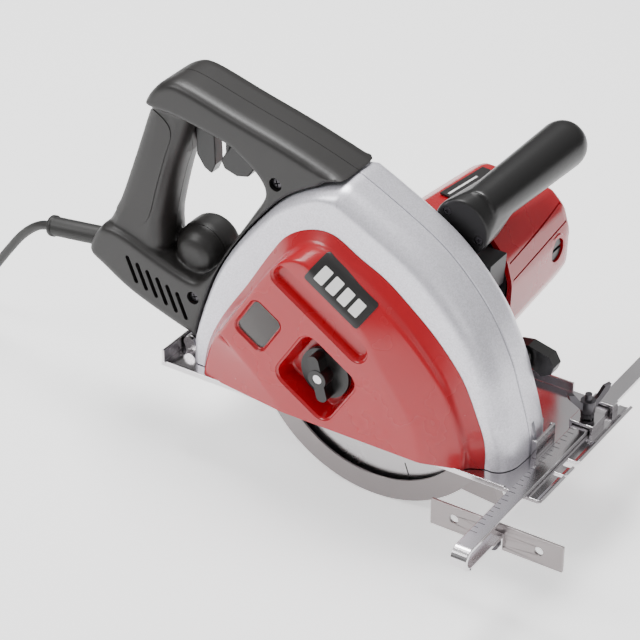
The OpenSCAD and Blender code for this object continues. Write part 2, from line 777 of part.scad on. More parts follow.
// ---------------------------------------------------------------- main handle
module handle_half(y_seam, y_out) {
    s = y_out < y_seam ? -1 : 1;
    g = grip_w / 2;
    frame = [[y_seam, frame_pts], [y_out - s * 2.5, frame_pts], [y_out, inset(frame_pts, frame_soft)]];
    grip = [[y_seam, grip_pts], [y_seam + s * (g - 8), inset(grip_pts, 1.5)],
        [y_seam + s * (g - 3), inset(grip_pts, 5)], [y_seam + s * g, inset(grip_pts, 10)]];
    difference() {
        union() {
            loft(s < 0 ? [frame[2], frame[1], frame[0]] : frame);
            loft(s < 0 ? [grip[3], grip[2], grip[1], grip[0]] : grip);
            // round boss at the foot of the loop
            if (s < 0) {
                yrod(boss_c, y_out + 6, y_seam, boss_r);
                ycone(boss_c, y_out + 2.5, y_out + 6, boss_r - 4, boss_r);
            }
            if (s > 0) {
                yrod(boss_c, y_seam, y_out - 6, boss_r);
                ycone(boss_c, y_out - 6, y_out - 2.5, boss_r, boss_r - 4);
            }
        }
        // room for the switch and the leads
        xz(hp([[-184, 98], [-164, 140], [-160, 160], [-170, 168], [-186, 150], [-202, 104]]),
            seam_y - g + 6, seam_y + g - 6);
        xz(hp([[-150, 40], [-146, 56], [-175, 64], [-200, 76], [-214, 74], [-206, 56], [-192, 46]]),
            seam_y - handle_w / 2 + 5, seam_y + handle_w / 2 - 5);
        xz(hp([[-92, 168], [-108, 190], [-148, 201], [-160, 198], [-110, 186]]),
            seam_y - handle_w / 2 + 6, seam_y + handle_w / 2 - 6);
        // slots that the trigger and its catch swing in, left full round their pins
        difference() {
            xz(hp([[-127, 195], [-127, 140], [-150, 134], [-166, 150], [-160, 176], [-156, 196]]),
                seam_y - 6.5, seam_y + 6.5);
            yrod(lock_pin, seam_y - 9, seam_y + 9, 2);
        }
        difference() {
            xz(hp([[-90, 192], [-90, 146], [-132, 140], [-132, 194]]), seam_y - 7.5, seam_y + 7.5);
            yrod(trigger_pin, seam_y - 9, seam_y + 9, 2);
        }
        // seat of the bend protector
        translate([sleeve_end[0], seam_y, sleeve_end[2]])
            rotate([0, 90 - sleeve_drop, 0])
                cylinder(h = sleeve_len + 16, r = sleeve_d / 2);
    }
}

module handle_near() {
    color(C_GREY)
        resize([0, 0, 0]) difference() {
            handle_half(seam_y, handle_near_y);
            // air slots low on the side
            for (i = [0:5])
                xz(turned([[-1.6, -11], [1.6, -11], [1.6, 11], [-1.6, 11]], 22,
                    hp([[-192 + i * 8.5, 58 - i * 3.2]])[0]), handle_near_y - 1, handle_near_y + 6);
            for (p = screw_spots)
                yrod(p, handle_near_y - 1, seam_y + 1, 4.2);
        }
}

screw_spots = hp([[-139.5, 52], [-69, 164]]);

module handle_far() {
    color(C_GREY)
        resize([0, 0, 0]) difference() {
            handle_half(seam_y, handle_far_y);
            for (i = [0:5])
                xz(turned([[-1.6, -11], [1.6, -11], [1.6, 11], [-1.6, 11]], 22,
                    hp([[-192 + i * 8.5, 58 - i * 3.2]])[0]), handle_far_y - 6, handle_far_y + 1);
        }
}

// soft panels on both sides of the grip
module grip_pads() {
    p = hp([[-178, 94], [-172, 112], [-162, 144], [-154, 172], [-160, 181], [-172, 181], [-180, 168],
        [-193, 136], [-203, 108], [-204, 95], [-192, 90]]);
    q = inset(p, 1.5);
    g = grip_w / 2;
    color(C_BLACK) {
        loft([[seam_y - g - 1.2, q], [seam_y - g, p]]);
        loft([[seam_y + g, p], [seam_y + g + 1.2, q]]);
    }
}

module handle_screws() {
    color(C_DARKSTEEL)
        for (p = screw_spots)
            difference() {
                yrod(p, handle_near_y + 5, seam_y, 4.2);
                for (a = [0, 90])
                    xz(turned([[-2.4, -0.5], [2.4, -0.5], [2.4, 0.5], [-2.4, 0.5]], a + 20, p),
                        handle_near_y + 4, handle_near_y + 7);
            }
}

module switch_block() {
    color(C_BLACK)
        xz(hp([[-186, 104], [-170, 140], [-168, 150], [-184, 146], [-197, 108]]), seam_y - 9, seam_y + 9);
}

trigger_pin = hp([[-113, 182]])[0];
lock_pin = hp([[-140, 182]])[0];

module trigger() {
    color(C_BLACK)
        difference() {
            xz(hp([[-104, 187], [-100, 174], [-98, 158], [-103, 151], [-112, 149], [-122, 152], [-125, 158],
                [-121, 165], [-121, 178], [-122, 187]]), seam_y - 6.5, seam_y + 6.5);
            yrod(trigger_pin, seam_y - 8, seam_y + 8, 2 + fit);
        }
}

module lock_off() {
    color(C_BLACK)
        difference() {
            xz(hp([[-133, 187], [-131, 172], [-130.5, 152], [-134, 144], [-140, 147], [-146, 156],
                [-146, 172], [-148, 187]]), seam_y - 5, seam_y + 5);
            yrod(lock_pin, seam_y - 8, seam_y + 8, 2 + fit);
        }
}

// ---------------------------------------------------------------- bar handle
module along_bar() {
    translate(bar_c)
        rotate([bar_pitch, 0, -bar_yaw])
            rotate([-90, 0, 0])
                children();
}

module bar_handle() {
    r0 = bar_d / 2;
    r1 = bar_end_d / 2;
    color(C_BLACK)
        union() {
            along_bar()
                rotate_extrude()
                    polygon([[0, 0], [r0, 0], [r0, 4], [r0 + 0.3, bar_len * 0.3], [r1 - 0.4, bar_len * 0.8],
                        [r1, bar_len - 12], [r1 - 0.8, bar_len - 7], [r1 - 3, bar_len - 3],
                        [r1 - 7, bar_len - 0.8], [r1 - 12, bar_len], [0, bar_len]]);
            // end plate beside the guard
            difference() {
                yrod([43, 141], far_w + 2, far_w + 5, 21);
                yrod([32, 150.5], far_w, far_w + 7, 2);
                yrod([56.5, 135.5], far_w, far_w + 7, 2);
            }
        }
}

module bar_foot() {
    color(C_GREY)
        difference() {
            xz([[34, 118.2], [64, 118.2], [74, 146], [66, 160], [34, 150], [30, 130]],
                far_w + 5, far_w + 24);
            along_bar()
                translate([0, 0, -10])
                    cylinder(h = 80, r = bar_d / 2 + 0.5);
        }
}

module bar_screws() {
    color(C_DARKSTEEL) {
        yrod([32, 150.5], far_w + 3, far_w + 5, 2);
        yrod([56.5, 135.5], far_w + 3, far_w + 5, 2);
    }
}

// ---------------------------------------------------------------- chip cover
module cover_skin(d, cut) {
    // d shrinks every outline, for the hollow inside
    loft([
        [-cover_w + d, inset(cover_top, d)],
        [-cover_w + 1.4 + d * 0.95, inset(cover_top, -4 + d)],
        [-cover_w + 9 + d * 0.6, inset(cover_mid, 2 + d)],
        [-cover_w + 13 + d * 0.3, inset(cover_mid, d)],
        [-near_w - 0.3 + cut, inset(cover_rim, d)]]);
}

pocket_pts = turned(rounded(pocket, pocket, 9), tilt, [-22 * kb, 41]);
pocket_low = turned(rounded(pocket - 7, pocket - 7, 7), tilt, [-22 * kb, 41]);
window_pts = turned(rounded(27, 34, 6), tilt, [-68 * kb, axis_h + 37 * kb]);
groove_pts = turned(rounded(84, 15, 7), tilt, [-19 * kb, axis_h + 63 * kb]);
badge_c = [-4 * kb, axis_h + 84 * kb];
badge_slope = 21;

module chip_cover() {
    color(C_RED)
        difference() {
            union() {
                difference() {
                    cover_skin(0, 0);
                    cover_skin(cover_wall, 1);
                    // viewing window
                    xz(window_pts, -cover_w - 1, -cover_w + 8);
                }
                // pocket walls and floor, made solid first and then hollowed
                intersection() {
                    cover_skin(0, 0);
                    xz(inset(pocket_pts, -cover_wall), -cover_w - 1, pocket_floor);
                }
                // finger groove under the badge
                intersection() {
                    cover_skin(0, 0);
                    xz(inset(groove_pts, -cover_wall), -cover_w - 1, -cover_w + 10);
                }
            }
            loft([[-cover_w - 1, pocket_pts], [-cover_w + 3, pocket_pts],
                [pocket_floor - cover_wall, pocket_low]]);
            xz(groove_pts, -cover_w - 1, -cover_w + 7);
            // flat seat of the badge
            on_slope()
                translate([0, 0, -0.4])
                    linear_extrude(12)
                        polygon(rounded(49.4, 23.4, 2.2));
            yrod([knob_x * kb, knob_z], -cover_w, -10, 6 + fit);
            floor_cut();
        }
}

module cover_window() {
    p = turned(rounded(27, 34, 6), tilt, [-68 * kb, axis_h + 37 * kb]);
    color("#777472", 0.5)
        xz(p, -cover_w + 1.2, -cover_w + cover_wall);
}

// frame of the badge on the slope over the finger groove
module on_slope() {
    translate([badge_c[0], -cover_w + 4, badge_c[1]])
        rotate([0, -tilt, 0])
            rotate([-badge_slope, 0, 0])
                rotate([90, 0, 0])
                    children();
}

module cover_badge() {
    color("#4b4845")
        on_slope()
            translate([0, 0, -0.4])
                linear_extrude(1)
                    polygon(rounded(49, 23, 2));
}

module cover_knob() {
    c = [knob_x * kb, knob_z];
    y0 = pocket_floor - cover_wall - 0.4;
    color(C_BLACK)
        difference() {
            union() {
                yrod(c, y0 - 3.5, y0, knob_d / 2);
                xz(turned(rounded(knob_d - 3, 8.5, 4), 104, c), y0 - 13, y0 - 3);
                yrod(c, y0 - 13.5, y0 - 2, 7);
                yrod(c, y0 - 1, -near_w - 0.6, 6);
            }
            yrod(c, y0 - 14, y0 - 11.5, 3.6);
            yrod(c, y0 - 15, -near_w, 2);
        }
}

module knob_screw() {
    c = [knob_x * kb, knob_z];
    y0 = pocket_floor - cover_wall - 0.4;
    color(C_STEEL)
        union() {
            yrod(c, y0 - 13, y0 - 11.5, 3.4);
            yrod(c, y0 - 12, -near_w + 3, 2);
        }
}

// ---------------------------------------------------------------- base
module base_plate() {
    w = base_near + base_far;
    color(C_STEEL)
        difference() {
            union() {
                translate([base_rear, -base_near, 0])
                    cube([base_front - base_rear, w, base_t]);
                // folded hem along the near edge
                translate([base_rear + 4, -base_near, base_t - 0.5])
                    cube([base_front - base_rear - 24, 2.4, hem_h + 0.5]);
                // upturned rear and far flanges
                translate([base_rear, -base_near + 1, 0])
                    cube([2, w - 2, rear_flange]);
                translate([base_rear + 1, base_far - 2, 0])
                    cube([base_front - base_rear - 36, 2, 10]);
                // rolled front lips with a notch between them
                for (s = [[-base_near, 44], [15, base_far - 13]])
                    translate([base_front - 1, s[0], 0])
                        rotate([90, 0, 0])
                            translate([0, 0, -s[1]])
                                linear_extrude(s[1])
                                    polygon([[0, 0], [6, 0], [9, 1.6], [10.5, 4.6], [8.6, 5.4], [7, 3.4],
                                        [5, base_t], [0, base_t]]);
                // ears of the rear pivot
                for (y = [-13, 21])
                    xz(concat([[pivot_x + 6, 0], [pivot_x + 6, pivot_z - 2]],
                        [for (a = [0:15:180]) [pivot_x, pivot_z] + 5 * [cos(a), sin(a)]],
                        [[pivot_x - 5, 0]]), y, y + 3);
            }
            // slot for the blade and the lower guard
            translate([-slot_half, lower_near - 3, -1])
                cube([slot_half + slot_front, lower_w + 6, base_t + 4]);
            // sight notches at the front edge
            translate([base_front - 0.5, -6, -1])
                cube([12, 3, 8]);
            for (y = [-13, 21])
                yrod([pivot_x, pivot_z], y - 1, y + 4, 3);
        }
}

module pivot_pin() {
    c = [pivot_x, pivot_z];
    color(C_STEEL)
        union() {
            yrod(c, -13, 24, 3);
            yrod(c, -15.4, -13, 4.6);
            yrod(c, 24, 26, 4.6);
        }
}

// upright stop in front of the guard
module front_bracket() {
    x = 118 * kb + 3;
    color(C_STEEL)
        union() {
            translate([x, 3, base_t])
                cube([2, 26, 14]);
            for (y = [3, 27])
                translate([x - 1.6, y, base_t])
                    cube([2, 2, 14]);
        }
}

// upright arm that carries the depth clamp's bolt
module depth_arm() {
    c = [clamp_x, clamp_z];
    color(C_STEEL)
        difference() {
            union() {
                xz(concat([[clamp_x + 16, base_t], [clamp_x + 16, base_t + 12]],
                    [for (a = [-10:20:190]) c + 10 * [cos(a), sin(a)]],
                    [[clamp_x - 18, base_t + 12], [clamp_x - 18, base_t]]), arm_y, arm_y + 3);
                translate([clamp_x - 18, arm_y, base_t])
                    cube([34, 15, 2.5]);
            }
            yrod(c, arm_y - 1, arm_y + 4, 4);
        }
}

module depth_bolt() {
    c = [clamp_x, clamp_z];
    // a thicker base lifts the clamp towards the curved wall, so the head sits further in
    head_y = far_w - guard_wall - 0.4 - max(0, base_t - 3);
    color(C_DARKSTEEL)
        union() {
            yrod(c, head_y, arm_y + 12, 4);
            yrod(c, head_y - 4, head_y, 7);
        }
}

module depth_lever() {
    c = [clamp_x, clamp_z];
    color(C_BLACK)
        difference() {
            union() {
                yrod(c, arm_y + 3.3, arm_y + 12, 8);
                xz(concat([for (a = [110:20:250]) c + 8 * [cos(a), sin(a)]],
                    [c + [10, -8], c + [17, -12], c + [24, -8], c + [26, -2], c + [22, 5],
                        c + [14, 7], c + [6, 9]]), arm_y + 5, arm_y + 15);
            }
            yrod(c, arm_y, arm_y + 12, 4 + fit);
        }
}

// two bridges that hold the fence bar down, the first with the clamp screw's thread
module bar_bridges() {
    color(C_STEEL)
        difference() {
            union() {
                for (s = [[wing_y - 9, 18], [wing_y + 21, 8]])
                    translate([bar_x - bar_w / 2 - 3, s[0], 0]) {
                        translate([0, 0, base_t])
                            cube([2.4, s[1], fence_t + 2.6]);
                        translate([bar_w + 3.6, 0, base_t])
                            cube([2.4, s[1], fence_t + 2.6]);
                        translate([0, 0, base_t + fence_t + 1])
                            cube([bar_w + 6, s[1], 2.4]);
                    }
            }
            translate([bar_x, wing_y, 0])
                cylinder(h = 30, r = 2.5 + fit);
        }
}

module bridge_spring() {
    z0 = base_t + fence_t + 3.4;
    n = 36;
    color(C_DARKSTEEL)
        tube([for (i = [0:n]) let (a = 360 * 3 * i / n)
            [bar_x + 4.2 * cos(a), wing_y + 4.2 * sin(a), z0 + 0.6 + 3.2 * i / n]], 0.6, 8);
}

module wing_screw() {
    z0 = base_t + fence_t + gap + 0.1;
    zw = z0 + 8;
    color(C_DARKSTEEL)
        union() {
            translate([bar_x, wing_y, z0])
                cylinder(h = 22, r = 2.5);
            translate([bar_x, wing_y, zw])
                cylinder(h = 9, r = 5.2);
            translate([bar_x, wing_y, zw])
                rotate([0, 0, 60])
                    rotate([90, 0, 0])
                        translate([0, 0, -1.6])
                            linear_extrude(3.2)
                                polygon([[3, 0], [8, 5], [15, 13], [17, 18], [12, 17], [7, 10], [3, 7],
                                    [-3, 7], [-7, 10], [-12, 17], [-17, 18], [-15, 13], [-8, 5],
                                    [-3, 0]]);
        }
}

// ---------------------------------------------------------------- rip fence
fence_near = -fence_y - 42;
leg_drop = 14;

module fence_bar() {
    x0 = bar_x - bar_w / 2;
    ro = (leg_drop + fence_t) / 2;
    zc = bar_z + fence_t - ro;
    color(C_STEEL)
        difference() {
            union() {
                translate([x0, fence_near, bar_z])
                    cube([bar_w, 258, fence_t]);
                // the bar folds back under itself at its near end
                translate([x0, fence_near, zc])
                    rotate([90, 0, 90])
                        linear_extrude(bar_w)
                            polygon(concat(
                                [for (a = [90:10:270]) ro * [cos(a), sin(a)]],
                                [for (a = [270:-10:90]) (ro - fence_t) * [cos(a), sin(a)]]));
                translate([x0, fence_near, zc - ro])
                    cube([bar_w, fence_y + fence_near * -1 - fence_y * 2 + 0, fence_t]);
                // tab that the fence plate is screwed to
                translate([x0, -fence_y - fence_t, zc - ro - 10])
                    cube([bar_w, fence_t, 10 + fence_t]);
            }
            yrod([bar_x, zc - ro - 5.4], -fence_y - 10, -fence_y + 5, 2.5);
        }
}

module fence_plate() {
    z1 = -2.5;
    cx = bar_x - 0.5;
    color(C_STEEL)
        difference() {
            translate([cx - fence_len / 2, -fence_y, z1 - fence_h])
                cube([fence_len, 2.2, fence_h]);
            for (s = [-1, 1])
                yrod([cx + s * fence_holes / 2, z1 - fence_h / 2], -fence_y - 1, -fence_y + 4, fence_hole_r);
            yrod([bar_x, bar_z + fence_t - leg_drop - fence_t - 5.4], -fence_y - 10, -fence_y + 5, 2.5);
        }
}

module fence_screw() {
    z = bar_z + fence_t - leg_drop - fence_t - 5.4;
    color(C_DARKSTEEL)
        union() {
            yrod([bar_x, z], -fence_y - fence_t, -fence_y + 3.6, 2.5);
            yrod([bar_x, z], -fence_y - fence_t - 2.6, -fence_y - fence_t, 4.6);
        }
}

// ---------------------------------------------------------------- mains lead
module cord_sleeve() {
    e = sleeve_end;
    color(C_BLACK)
        translate(e)
            rotate([0, 90 - sleeve_drop, 0])
                difference() {
                    union() {
                        cylinder(h = sleeve_len + 12, r = sleeve_d / 2 - fit);
                        cylinder(h = 3, r = sleeve_d / 2 + 0.8);
                    }
                    translate([0, 0, -1])
                        cylinder(h = sleeve_len + 14, r = cord_d / 2 + 0.4);
                }
}

module cord() {
    e = sleeve_end;
    start = e + (sleeve_len + 8) * [cos(sleeve_drop), 0, sin(sleeve_drop)];
    p = concat([start, e + 30 * [cos(sleeve_drop), 0, sin(sleeve_drop)]], cord_pts);
    color(C_BLACK)
        tube(route(p, cord_d * 2.2), cord_d / 2, 10);
}

module cord_coil() {
    color(C_BLACK)
        translate([coil_c[0], coil_c[1], floor_z])
            rotate_extrude()
                polygon([for (i = [0:23]) let (a = 15 * i)
                    [coil_mean / 2 + coil_w / 2 * cos(a), coil_h / 2 + coil_h / 2 * sin(a)]]);
}

plug_at = [coil_c[0] + 38, coil_c[1] - coil_mean / 2 - coil_w / 2 - 26, floor_z + 18];

module plug_body() {
    color(C_BLACK)
        translate(plug_at)
            rotate([0, -90, 0])
                rotate_extrude()
                    polygon([[0, 0], [17.5, 0], [17.5, 12], [15, 22], [9, 30], [6.5, 44], [5, 58], [0, 58]]);
}

module plug_pins() {
    color(C_STEEL)
        translate(plug_at)
            rotate([0, 90, 0])
                for (s = [-9.5, 9.5])
                    translate([0, s, 0])
                        cylinder(h = 19, r = 2.4);
}

// ---------------------------------------------------------------- pieces
guard_near();
guard_far();
gear_case();
bearing_plate();
motor_housing();
stator();
brush_gear();
brush_caps();
handle_near();
handle_far();
grip_pads();
handle_screws();
switch_block();
bar_handle();
bar_foot();
bar_screws();
rating_plate();
guard_spring();
cord_sleeve();
cord();
cord_coil();
plug_body();
plug_pins();
lower_guard();
spindle();
blade();
inner_flange();
outer_flange();
blade_bolt();
output_gear();
bearings();
mid_shaft();
mid_gear();
armature();
commutator();
fan();
chip_cover();
cover_window();
cover_badge();
cover_knob();
knob_screw();
trigger();
lock_off();
base_plate();
pivot_pin();
front_bracket();
depth_arm();
bar_bridges();
bridge_spring();
depth_bolt();
depth_lever();
fence_bar();
fence_plate();
fence_screw();
wing_screw();
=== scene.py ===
"""The looks of a hand-held circular saw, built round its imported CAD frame.

Each sub-assembly is a class: its sizes are fields in millimetres, its methods build the meshes and
dress them. Each finish is a frozen dataclass named for the real material.
"""

from __future__ import annotations

import json
import logging
import math
from dataclasses import dataclass, field
from enum import Enum
from typing import Any, Sequence

import bmesh
import bpy
from mathutils import Matrix, Vector
from mathutils.bvhtree import BVHTree

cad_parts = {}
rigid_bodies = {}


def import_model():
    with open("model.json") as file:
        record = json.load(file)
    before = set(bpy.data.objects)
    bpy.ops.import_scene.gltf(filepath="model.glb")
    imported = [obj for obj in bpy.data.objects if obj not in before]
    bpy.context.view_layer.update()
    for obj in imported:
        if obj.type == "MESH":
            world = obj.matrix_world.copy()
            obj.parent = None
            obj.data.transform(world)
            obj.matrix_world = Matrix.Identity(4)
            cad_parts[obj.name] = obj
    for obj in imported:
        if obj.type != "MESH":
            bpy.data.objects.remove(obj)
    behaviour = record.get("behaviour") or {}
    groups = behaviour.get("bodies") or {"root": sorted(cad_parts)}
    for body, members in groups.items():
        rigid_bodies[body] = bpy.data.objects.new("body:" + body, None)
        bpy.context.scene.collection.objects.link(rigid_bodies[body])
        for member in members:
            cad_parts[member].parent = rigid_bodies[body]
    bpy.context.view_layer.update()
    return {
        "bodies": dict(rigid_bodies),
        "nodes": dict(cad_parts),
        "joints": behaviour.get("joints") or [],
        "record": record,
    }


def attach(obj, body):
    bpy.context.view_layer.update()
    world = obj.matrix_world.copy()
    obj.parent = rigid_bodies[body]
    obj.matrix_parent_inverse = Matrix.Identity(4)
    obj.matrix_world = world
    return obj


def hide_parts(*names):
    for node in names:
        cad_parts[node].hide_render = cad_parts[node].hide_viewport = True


LOG = logging.getLogger("saw")
MM = 0.001
Point2 = tuple[float, float]
Point3 = tuple[float, float, float]
Outline = list[Point2]

# Shared places, in millimetres: the blade's axis, the cover knob's and the base's rear pivot in X and Z,
# the seam between the near and far shells in Y, and the floor under the lowest point of the inner guard.
BLADE_AXIS: Point2 = (0.0, 30.0)
KNOB: Point2 = (-21.0, 40.0)
PIVOT: Point2 = (-147.0, 10.0)
SEAM = 4.0
FLOOR_Z = -68.0
# A cutter's corners that clear away whatever lies below the shells' foot, 3.6 mm over the sole.
BELOW: tuple[Point3, Point3] = ((-400, -200, -200), (400, 200, 3.6))


class Body(str, Enum):
    """The moving bodies that pieces ride on."""

    MACHINE = "machine"
    COVER = "cover_group"
    FENCE = "fence_group"


# ------------------------------------------------------------------ colour and node helpers


def linear(code: str) -> tuple[float, float, float, float]:
    """Turns an sRGB hex colour into Blender's linear colour.

    Args:
        code: Six hex digits, such as "c63c40".

    Returns:
        Red, green, blue and alpha, linear, from 0 to 1.
    """
    parts = [int(code[i : i + 2], 16) / 255 for i in (0, 2, 4)]
    curve = [c / 12.92 if c <= 0.04045 else ((c + 0.055) / 1.055) ** 2.4 for c in parts]
    return (curve[0], curve[1], curve[2], 1.0)


def node(tree: bpy.types.NodeTree, kind: str, settings: dict[str, Any] | None = None,
         **links: Any) -> bpy.types.Node:
    """Adds one shader node with its settings and links.

    Args:
        tree: The material's node tree.
        kind: The node's type name.
        settings: Attributes to set on the node, or input values where the key is an input's name.
        **links: Input name, with spaces as underscores, or i and its number, to the socket that feeds it.

    Returns:
        The new node.
    """
    made = tree.nodes.new(kind)
    for key, value in (settings or {}).items():
        if hasattr(made, key):
            setattr(made, key, value)
        else:
            made.inputs[key].default_value = value
    for key, socket in links.items():
        numbered = key[0] == "i" and key[1:].isdigit()
        target = made.inputs[int(key[1:]) if numbered else key.replace("_", " ")]
        tree.links.new(socket, target)
    return made


@dataclass(frozen=True)
class Finish:
    """A real surface: its base colour, how glossy it is and how fine its grain.

    Attributes:
        name: The material's name in the scene.
        colour: Base colour as sRGB hex.
        roughness: Mean roughness of the surface.
        metallic: 1 for bare metal, 0 for the rest.
        grain_mm: Size of the surface's own grain.
        bump: Height of that grain, from 0 to 1.
        mottle: How much the base colour wanders, from 0 to 1.
        coat: Weight of a clear, glossy top layer, from 0 to 1.
        ior: Refraction of a surface that isn't metal.
    """

    name: str
    colour: str
    roughness: float = 0.5
    metallic: float = 0.0
    grain_mm: float = 1.0
    bump: float = 0.1
    mottle: float = 0.06
    coat: float = 0.0
    ior: float = 1.5

    def shader(self) -> tuple[bpy.types.Material, bpy.types.NodeTree, bpy.types.Node, bpy.types.Node]:
        """Starts the material.

        Returns:
            The material, its tree, its principled shader and its object-coordinates node.
        """
        mat = bpy.data.materials.new(self.name)
        mat.use_nodes = True
        tree = mat.node_tree
        bsdf = tree.nodes["Principled BSDF"]
        bsdf.inputs["Metallic"].default_value = self.metallic
        bsdf.inputs["Roughness"].default_value = self.roughness
        if not self.metallic:
            bsdf.inputs["IOR"].default_value = self.ior
        bsdf.inputs["Coat Weight"].default_value = self.coat
        bsdf.inputs["Coat Roughness"].default_value = 0.08
        where = node(tree, "ShaderNodeTexCoord")
        return mat, tree, bsdf, where

    def noise(self, tree: bpy.types.NodeTree, where: bpy.types.Node, size_mm: float,
              detail: float = 3.0, stretch: Point3 = (1, 1, 1)) -> bpy.types.Node:
        """Adds a noise whose cells are a real size.

        Args:
            tree: The material's node tree.
            where: The coordinates node.
            size_mm: Size of one cell of the noise.
            detail: Octaves of finer noise.
            stretch: How many times finer the noise is along each axis.

        Returns:
            The noise node.
        """
        mapped = node(tree, "ShaderNodeMapping", {"Scale": stretch}, Vector=where.outputs["Object"])
        return node(tree, "ShaderNodeTexNoise", {"Scale": 1000 / size_mm, "Detail": detail},
                    Vector=mapped.outputs["Vector"])

    def tint(self, tree: bpy.types.NodeTree, bsdf: bpy.types.Node, factor: Any) -> None:
        """Lets the base colour wander a little either side of its mean.

        Args:
            tree: The material's node tree.
            bsdf: The principled shader.
            factor: The socket that drives it.
        """
        base = linear(self.colour)
        low = tuple(c * (1 - self.mottle) for c in base[:3]) + (1.0,)
        high = tuple(min(1.0, c * (1 + self.mottle)) for c in base[:3]) + (1.0,)
        ramp = node(tree, "ShaderNodeMix", {"data_type": "RGBA"})
        ramp.inputs[6].default_value = low
        ramp.inputs[7].default_value = high
        tree.links.new(factor, ramp.inputs[0])
        tree.links.new(ramp.outputs[2], bsdf.inputs["Base Color"])

    def rough(self, tree: bpy.types.NodeTree, bsdf: bpy.types.Node, factor: Any,
              spread: float) -> None:
        """Lets the roughness wander.

        Args:
            tree: The material's node tree.
            bsdf: The principled shader.
            factor: The socket that drives it.
            spread: Half of the roughness's range.
        """
        span = node(tree, "ShaderNodeMapRange", {"To Min": max(0.03, self.roughness - spread),
                                                 "To Max": min(1.0, self.roughness + spread)},
                    Value=factor)
        tree.links.new(span.outputs["Result"], bsdf.inputs["Roughness"])

    def raise_grain(self, tree: bpy.types.NodeTree, bsdf: bpy.types.Node, height: Any,
                    depth_mm: float = 0.05) -> None:
        """Adds the grain's relief.

        Args:
            tree: The material's node tree.
            bsdf: The principled shader.
            height: The socket that gives the height.
            depth_mm: The relief's real height.
        """
        relief = node(tree, "ShaderNodeBump", {"Strength": self.bump, "Distance": depth_mm * MM},
                      Height=height)
        tree.links.new(relief.outputs["Normal"], bsdf.inputs["Normal"])

    def build(self) -> bpy.types.Material:
        """Makes a plain moulded or painted surface: grain, colour drift and gloss drift.

        Returns:
            The material.
        """
        mat, tree, bsdf, where = self.shader()
        broad = self.noise(tree, where, 40.0)
        fine = self.noise(tree, where, self.grain_mm, 2.0)
        self.tint(tree, bsdf, broad.outputs["Fac"])
        self.rough(tree, bsdf, broad.outputs["Fac"], 0.025)
        self.raise_grain(tree, bsdf, fine.outputs["Fac"])
        return mat


@dataclass(frozen=True)
class MetallicPaint(Finish):
    """Silver metallic lacquer on a die casting: flakes glint as fine bright specks."""

    def build(self) -> bpy.types.Material:
        """Makes the flakes from small cells of differing brightness under a clear coat.

        Returns:
            The material.
        """
        mat, tree, bsdf, where = self.shader()
        flakes = node(tree, "ShaderNodeTexVoronoi", {"Scale": 1000 / 0.9}, Vector=where.outputs["Object"])
        broad = self.noise(tree, where, 55.0)
        self.tint(tree, bsdf, flakes.outputs["Color"])
        self.rough(tree, bsdf, broad.outputs["Fac"], 0.05)
        fine = self.noise(tree, where, self.grain_mm, 1.0)
        self.raise_grain(tree, bsdf, fine.outputs["Fac"])
        return mat


@dataclass(frozen=True)
class PlatedSteel(Finish):
    """Nickel-plated sheet steel: mirror-like with faint rolling lines and finger haze."""

    def build(self) -> bpy.types.Material:
        """Makes haze patches and rolling lines along X.

        Returns:
            The material.
        """
        mat, tree, bsdf, where = self.shader()
        haze = self.noise(tree, where, 26.0, 5.0)
        lines = self.noise(tree, where, 9.0, 4.0, (0.12, 8.0, 8.0))
        self.tint(tree, bsdf, haze.outputs["Fac"])
        self.rough(tree, bsdf, haze.outputs["Fac"], 0.09)
        self.raise_grain(tree, bsdf, lines.outputs["Fac"], 0.03)
        return mat


@dataclass(frozen=True)
class GroundSteel(Finish):
    """A saw blade's ground face or a turned part: fine rings about the spindle's axis."""

    centre: Point2 = BLADE_AXIS

    def build(self) -> bpy.types.Material:
        """Makes the rings from the distance to the axis, in the plane across Y.

        Returns:
            The material.
        """
        mat, tree, bsdf, where = self.shader()
        to_axis = (-self.centre[0] * MM, 0, -self.centre[1] * MM)
        mapped = node(tree, "ShaderNodeMapping", {"Location": to_axis}, Vector=where.outputs["Object"])
        flat = node(tree, "ShaderNodeMapping", {"Scale": (1, 0, 1)}, Vector=mapped.outputs["Vector"])
        radius = node(tree, "ShaderNodeVectorMath", {"operation": "LENGTH"}, i0=flat.outputs["Vector"])
        rings = node(tree, "ShaderNodeTexNoise", {"noise_dimensions": "1D", "Scale": 1000 / self.grain_mm,
                                                  "Detail": 4.0}, W=radius.outputs["Value"])
        haze = self.noise(tree, where, 30.0)
        self.tint(tree, bsdf, rings.outputs["Fac"])
        self.rough(tree, bsdf, haze.outputs["Fac"], 0.06)
        self.raise_grain(tree, bsdf, rings.outputs["Fac"], 0.02)
        return mat


@dataclass(frozen=True)
class SmokedPane(Finish):
    """Smoked polycarbonate: dark, glossy, a little see-through."""

    def build(self) -> bpy.types.Material:
        """Makes a tinted pane with light scuffs.

        Returns:
            The material.
        """
        mat, tree, bsdf, where = self.shader()
        bsdf.inputs["Base Color"].default_value = linear(self.colour)
        bsdf.inputs["Transmission Weight"].default_value = 0.55
        scuffs = self.noise(tree, where, 6.0, 6.0, (1, 6, 1))
        self.rough(tree, bsdf, scuffs.outputs["Fac"], 0.1)
        self.raise_grain(tree, bsdf, scuffs.outputs["Fac"], 0.02)
        return mat


# Injection-moulded ABS, polished tool: deep red with a clear highlight and a slight orange peel.
RED_ABS = Finish("red_abs_moulded", "a50818", 0.27, grain_mm=1.6, bump=0.10, mottle=0.05, coat=0.25)
# Silver metallic lacquer: soft broad highlight, specks of flake.
SILVER = MetallicPaint("silver_metallic_lacquer", "dddbe3", 0.34, 0.5, 0.7, 0.2, 0.14)
# Glass-filled nylon from a spark-eroded tool: charcoal, fine matt grain that catches light as speckle.
NYLON = Finish("charcoal_nylon_grained", "1b1918", 0.43, grain_mm=0.8, bump=0.55, mottle=0.10)
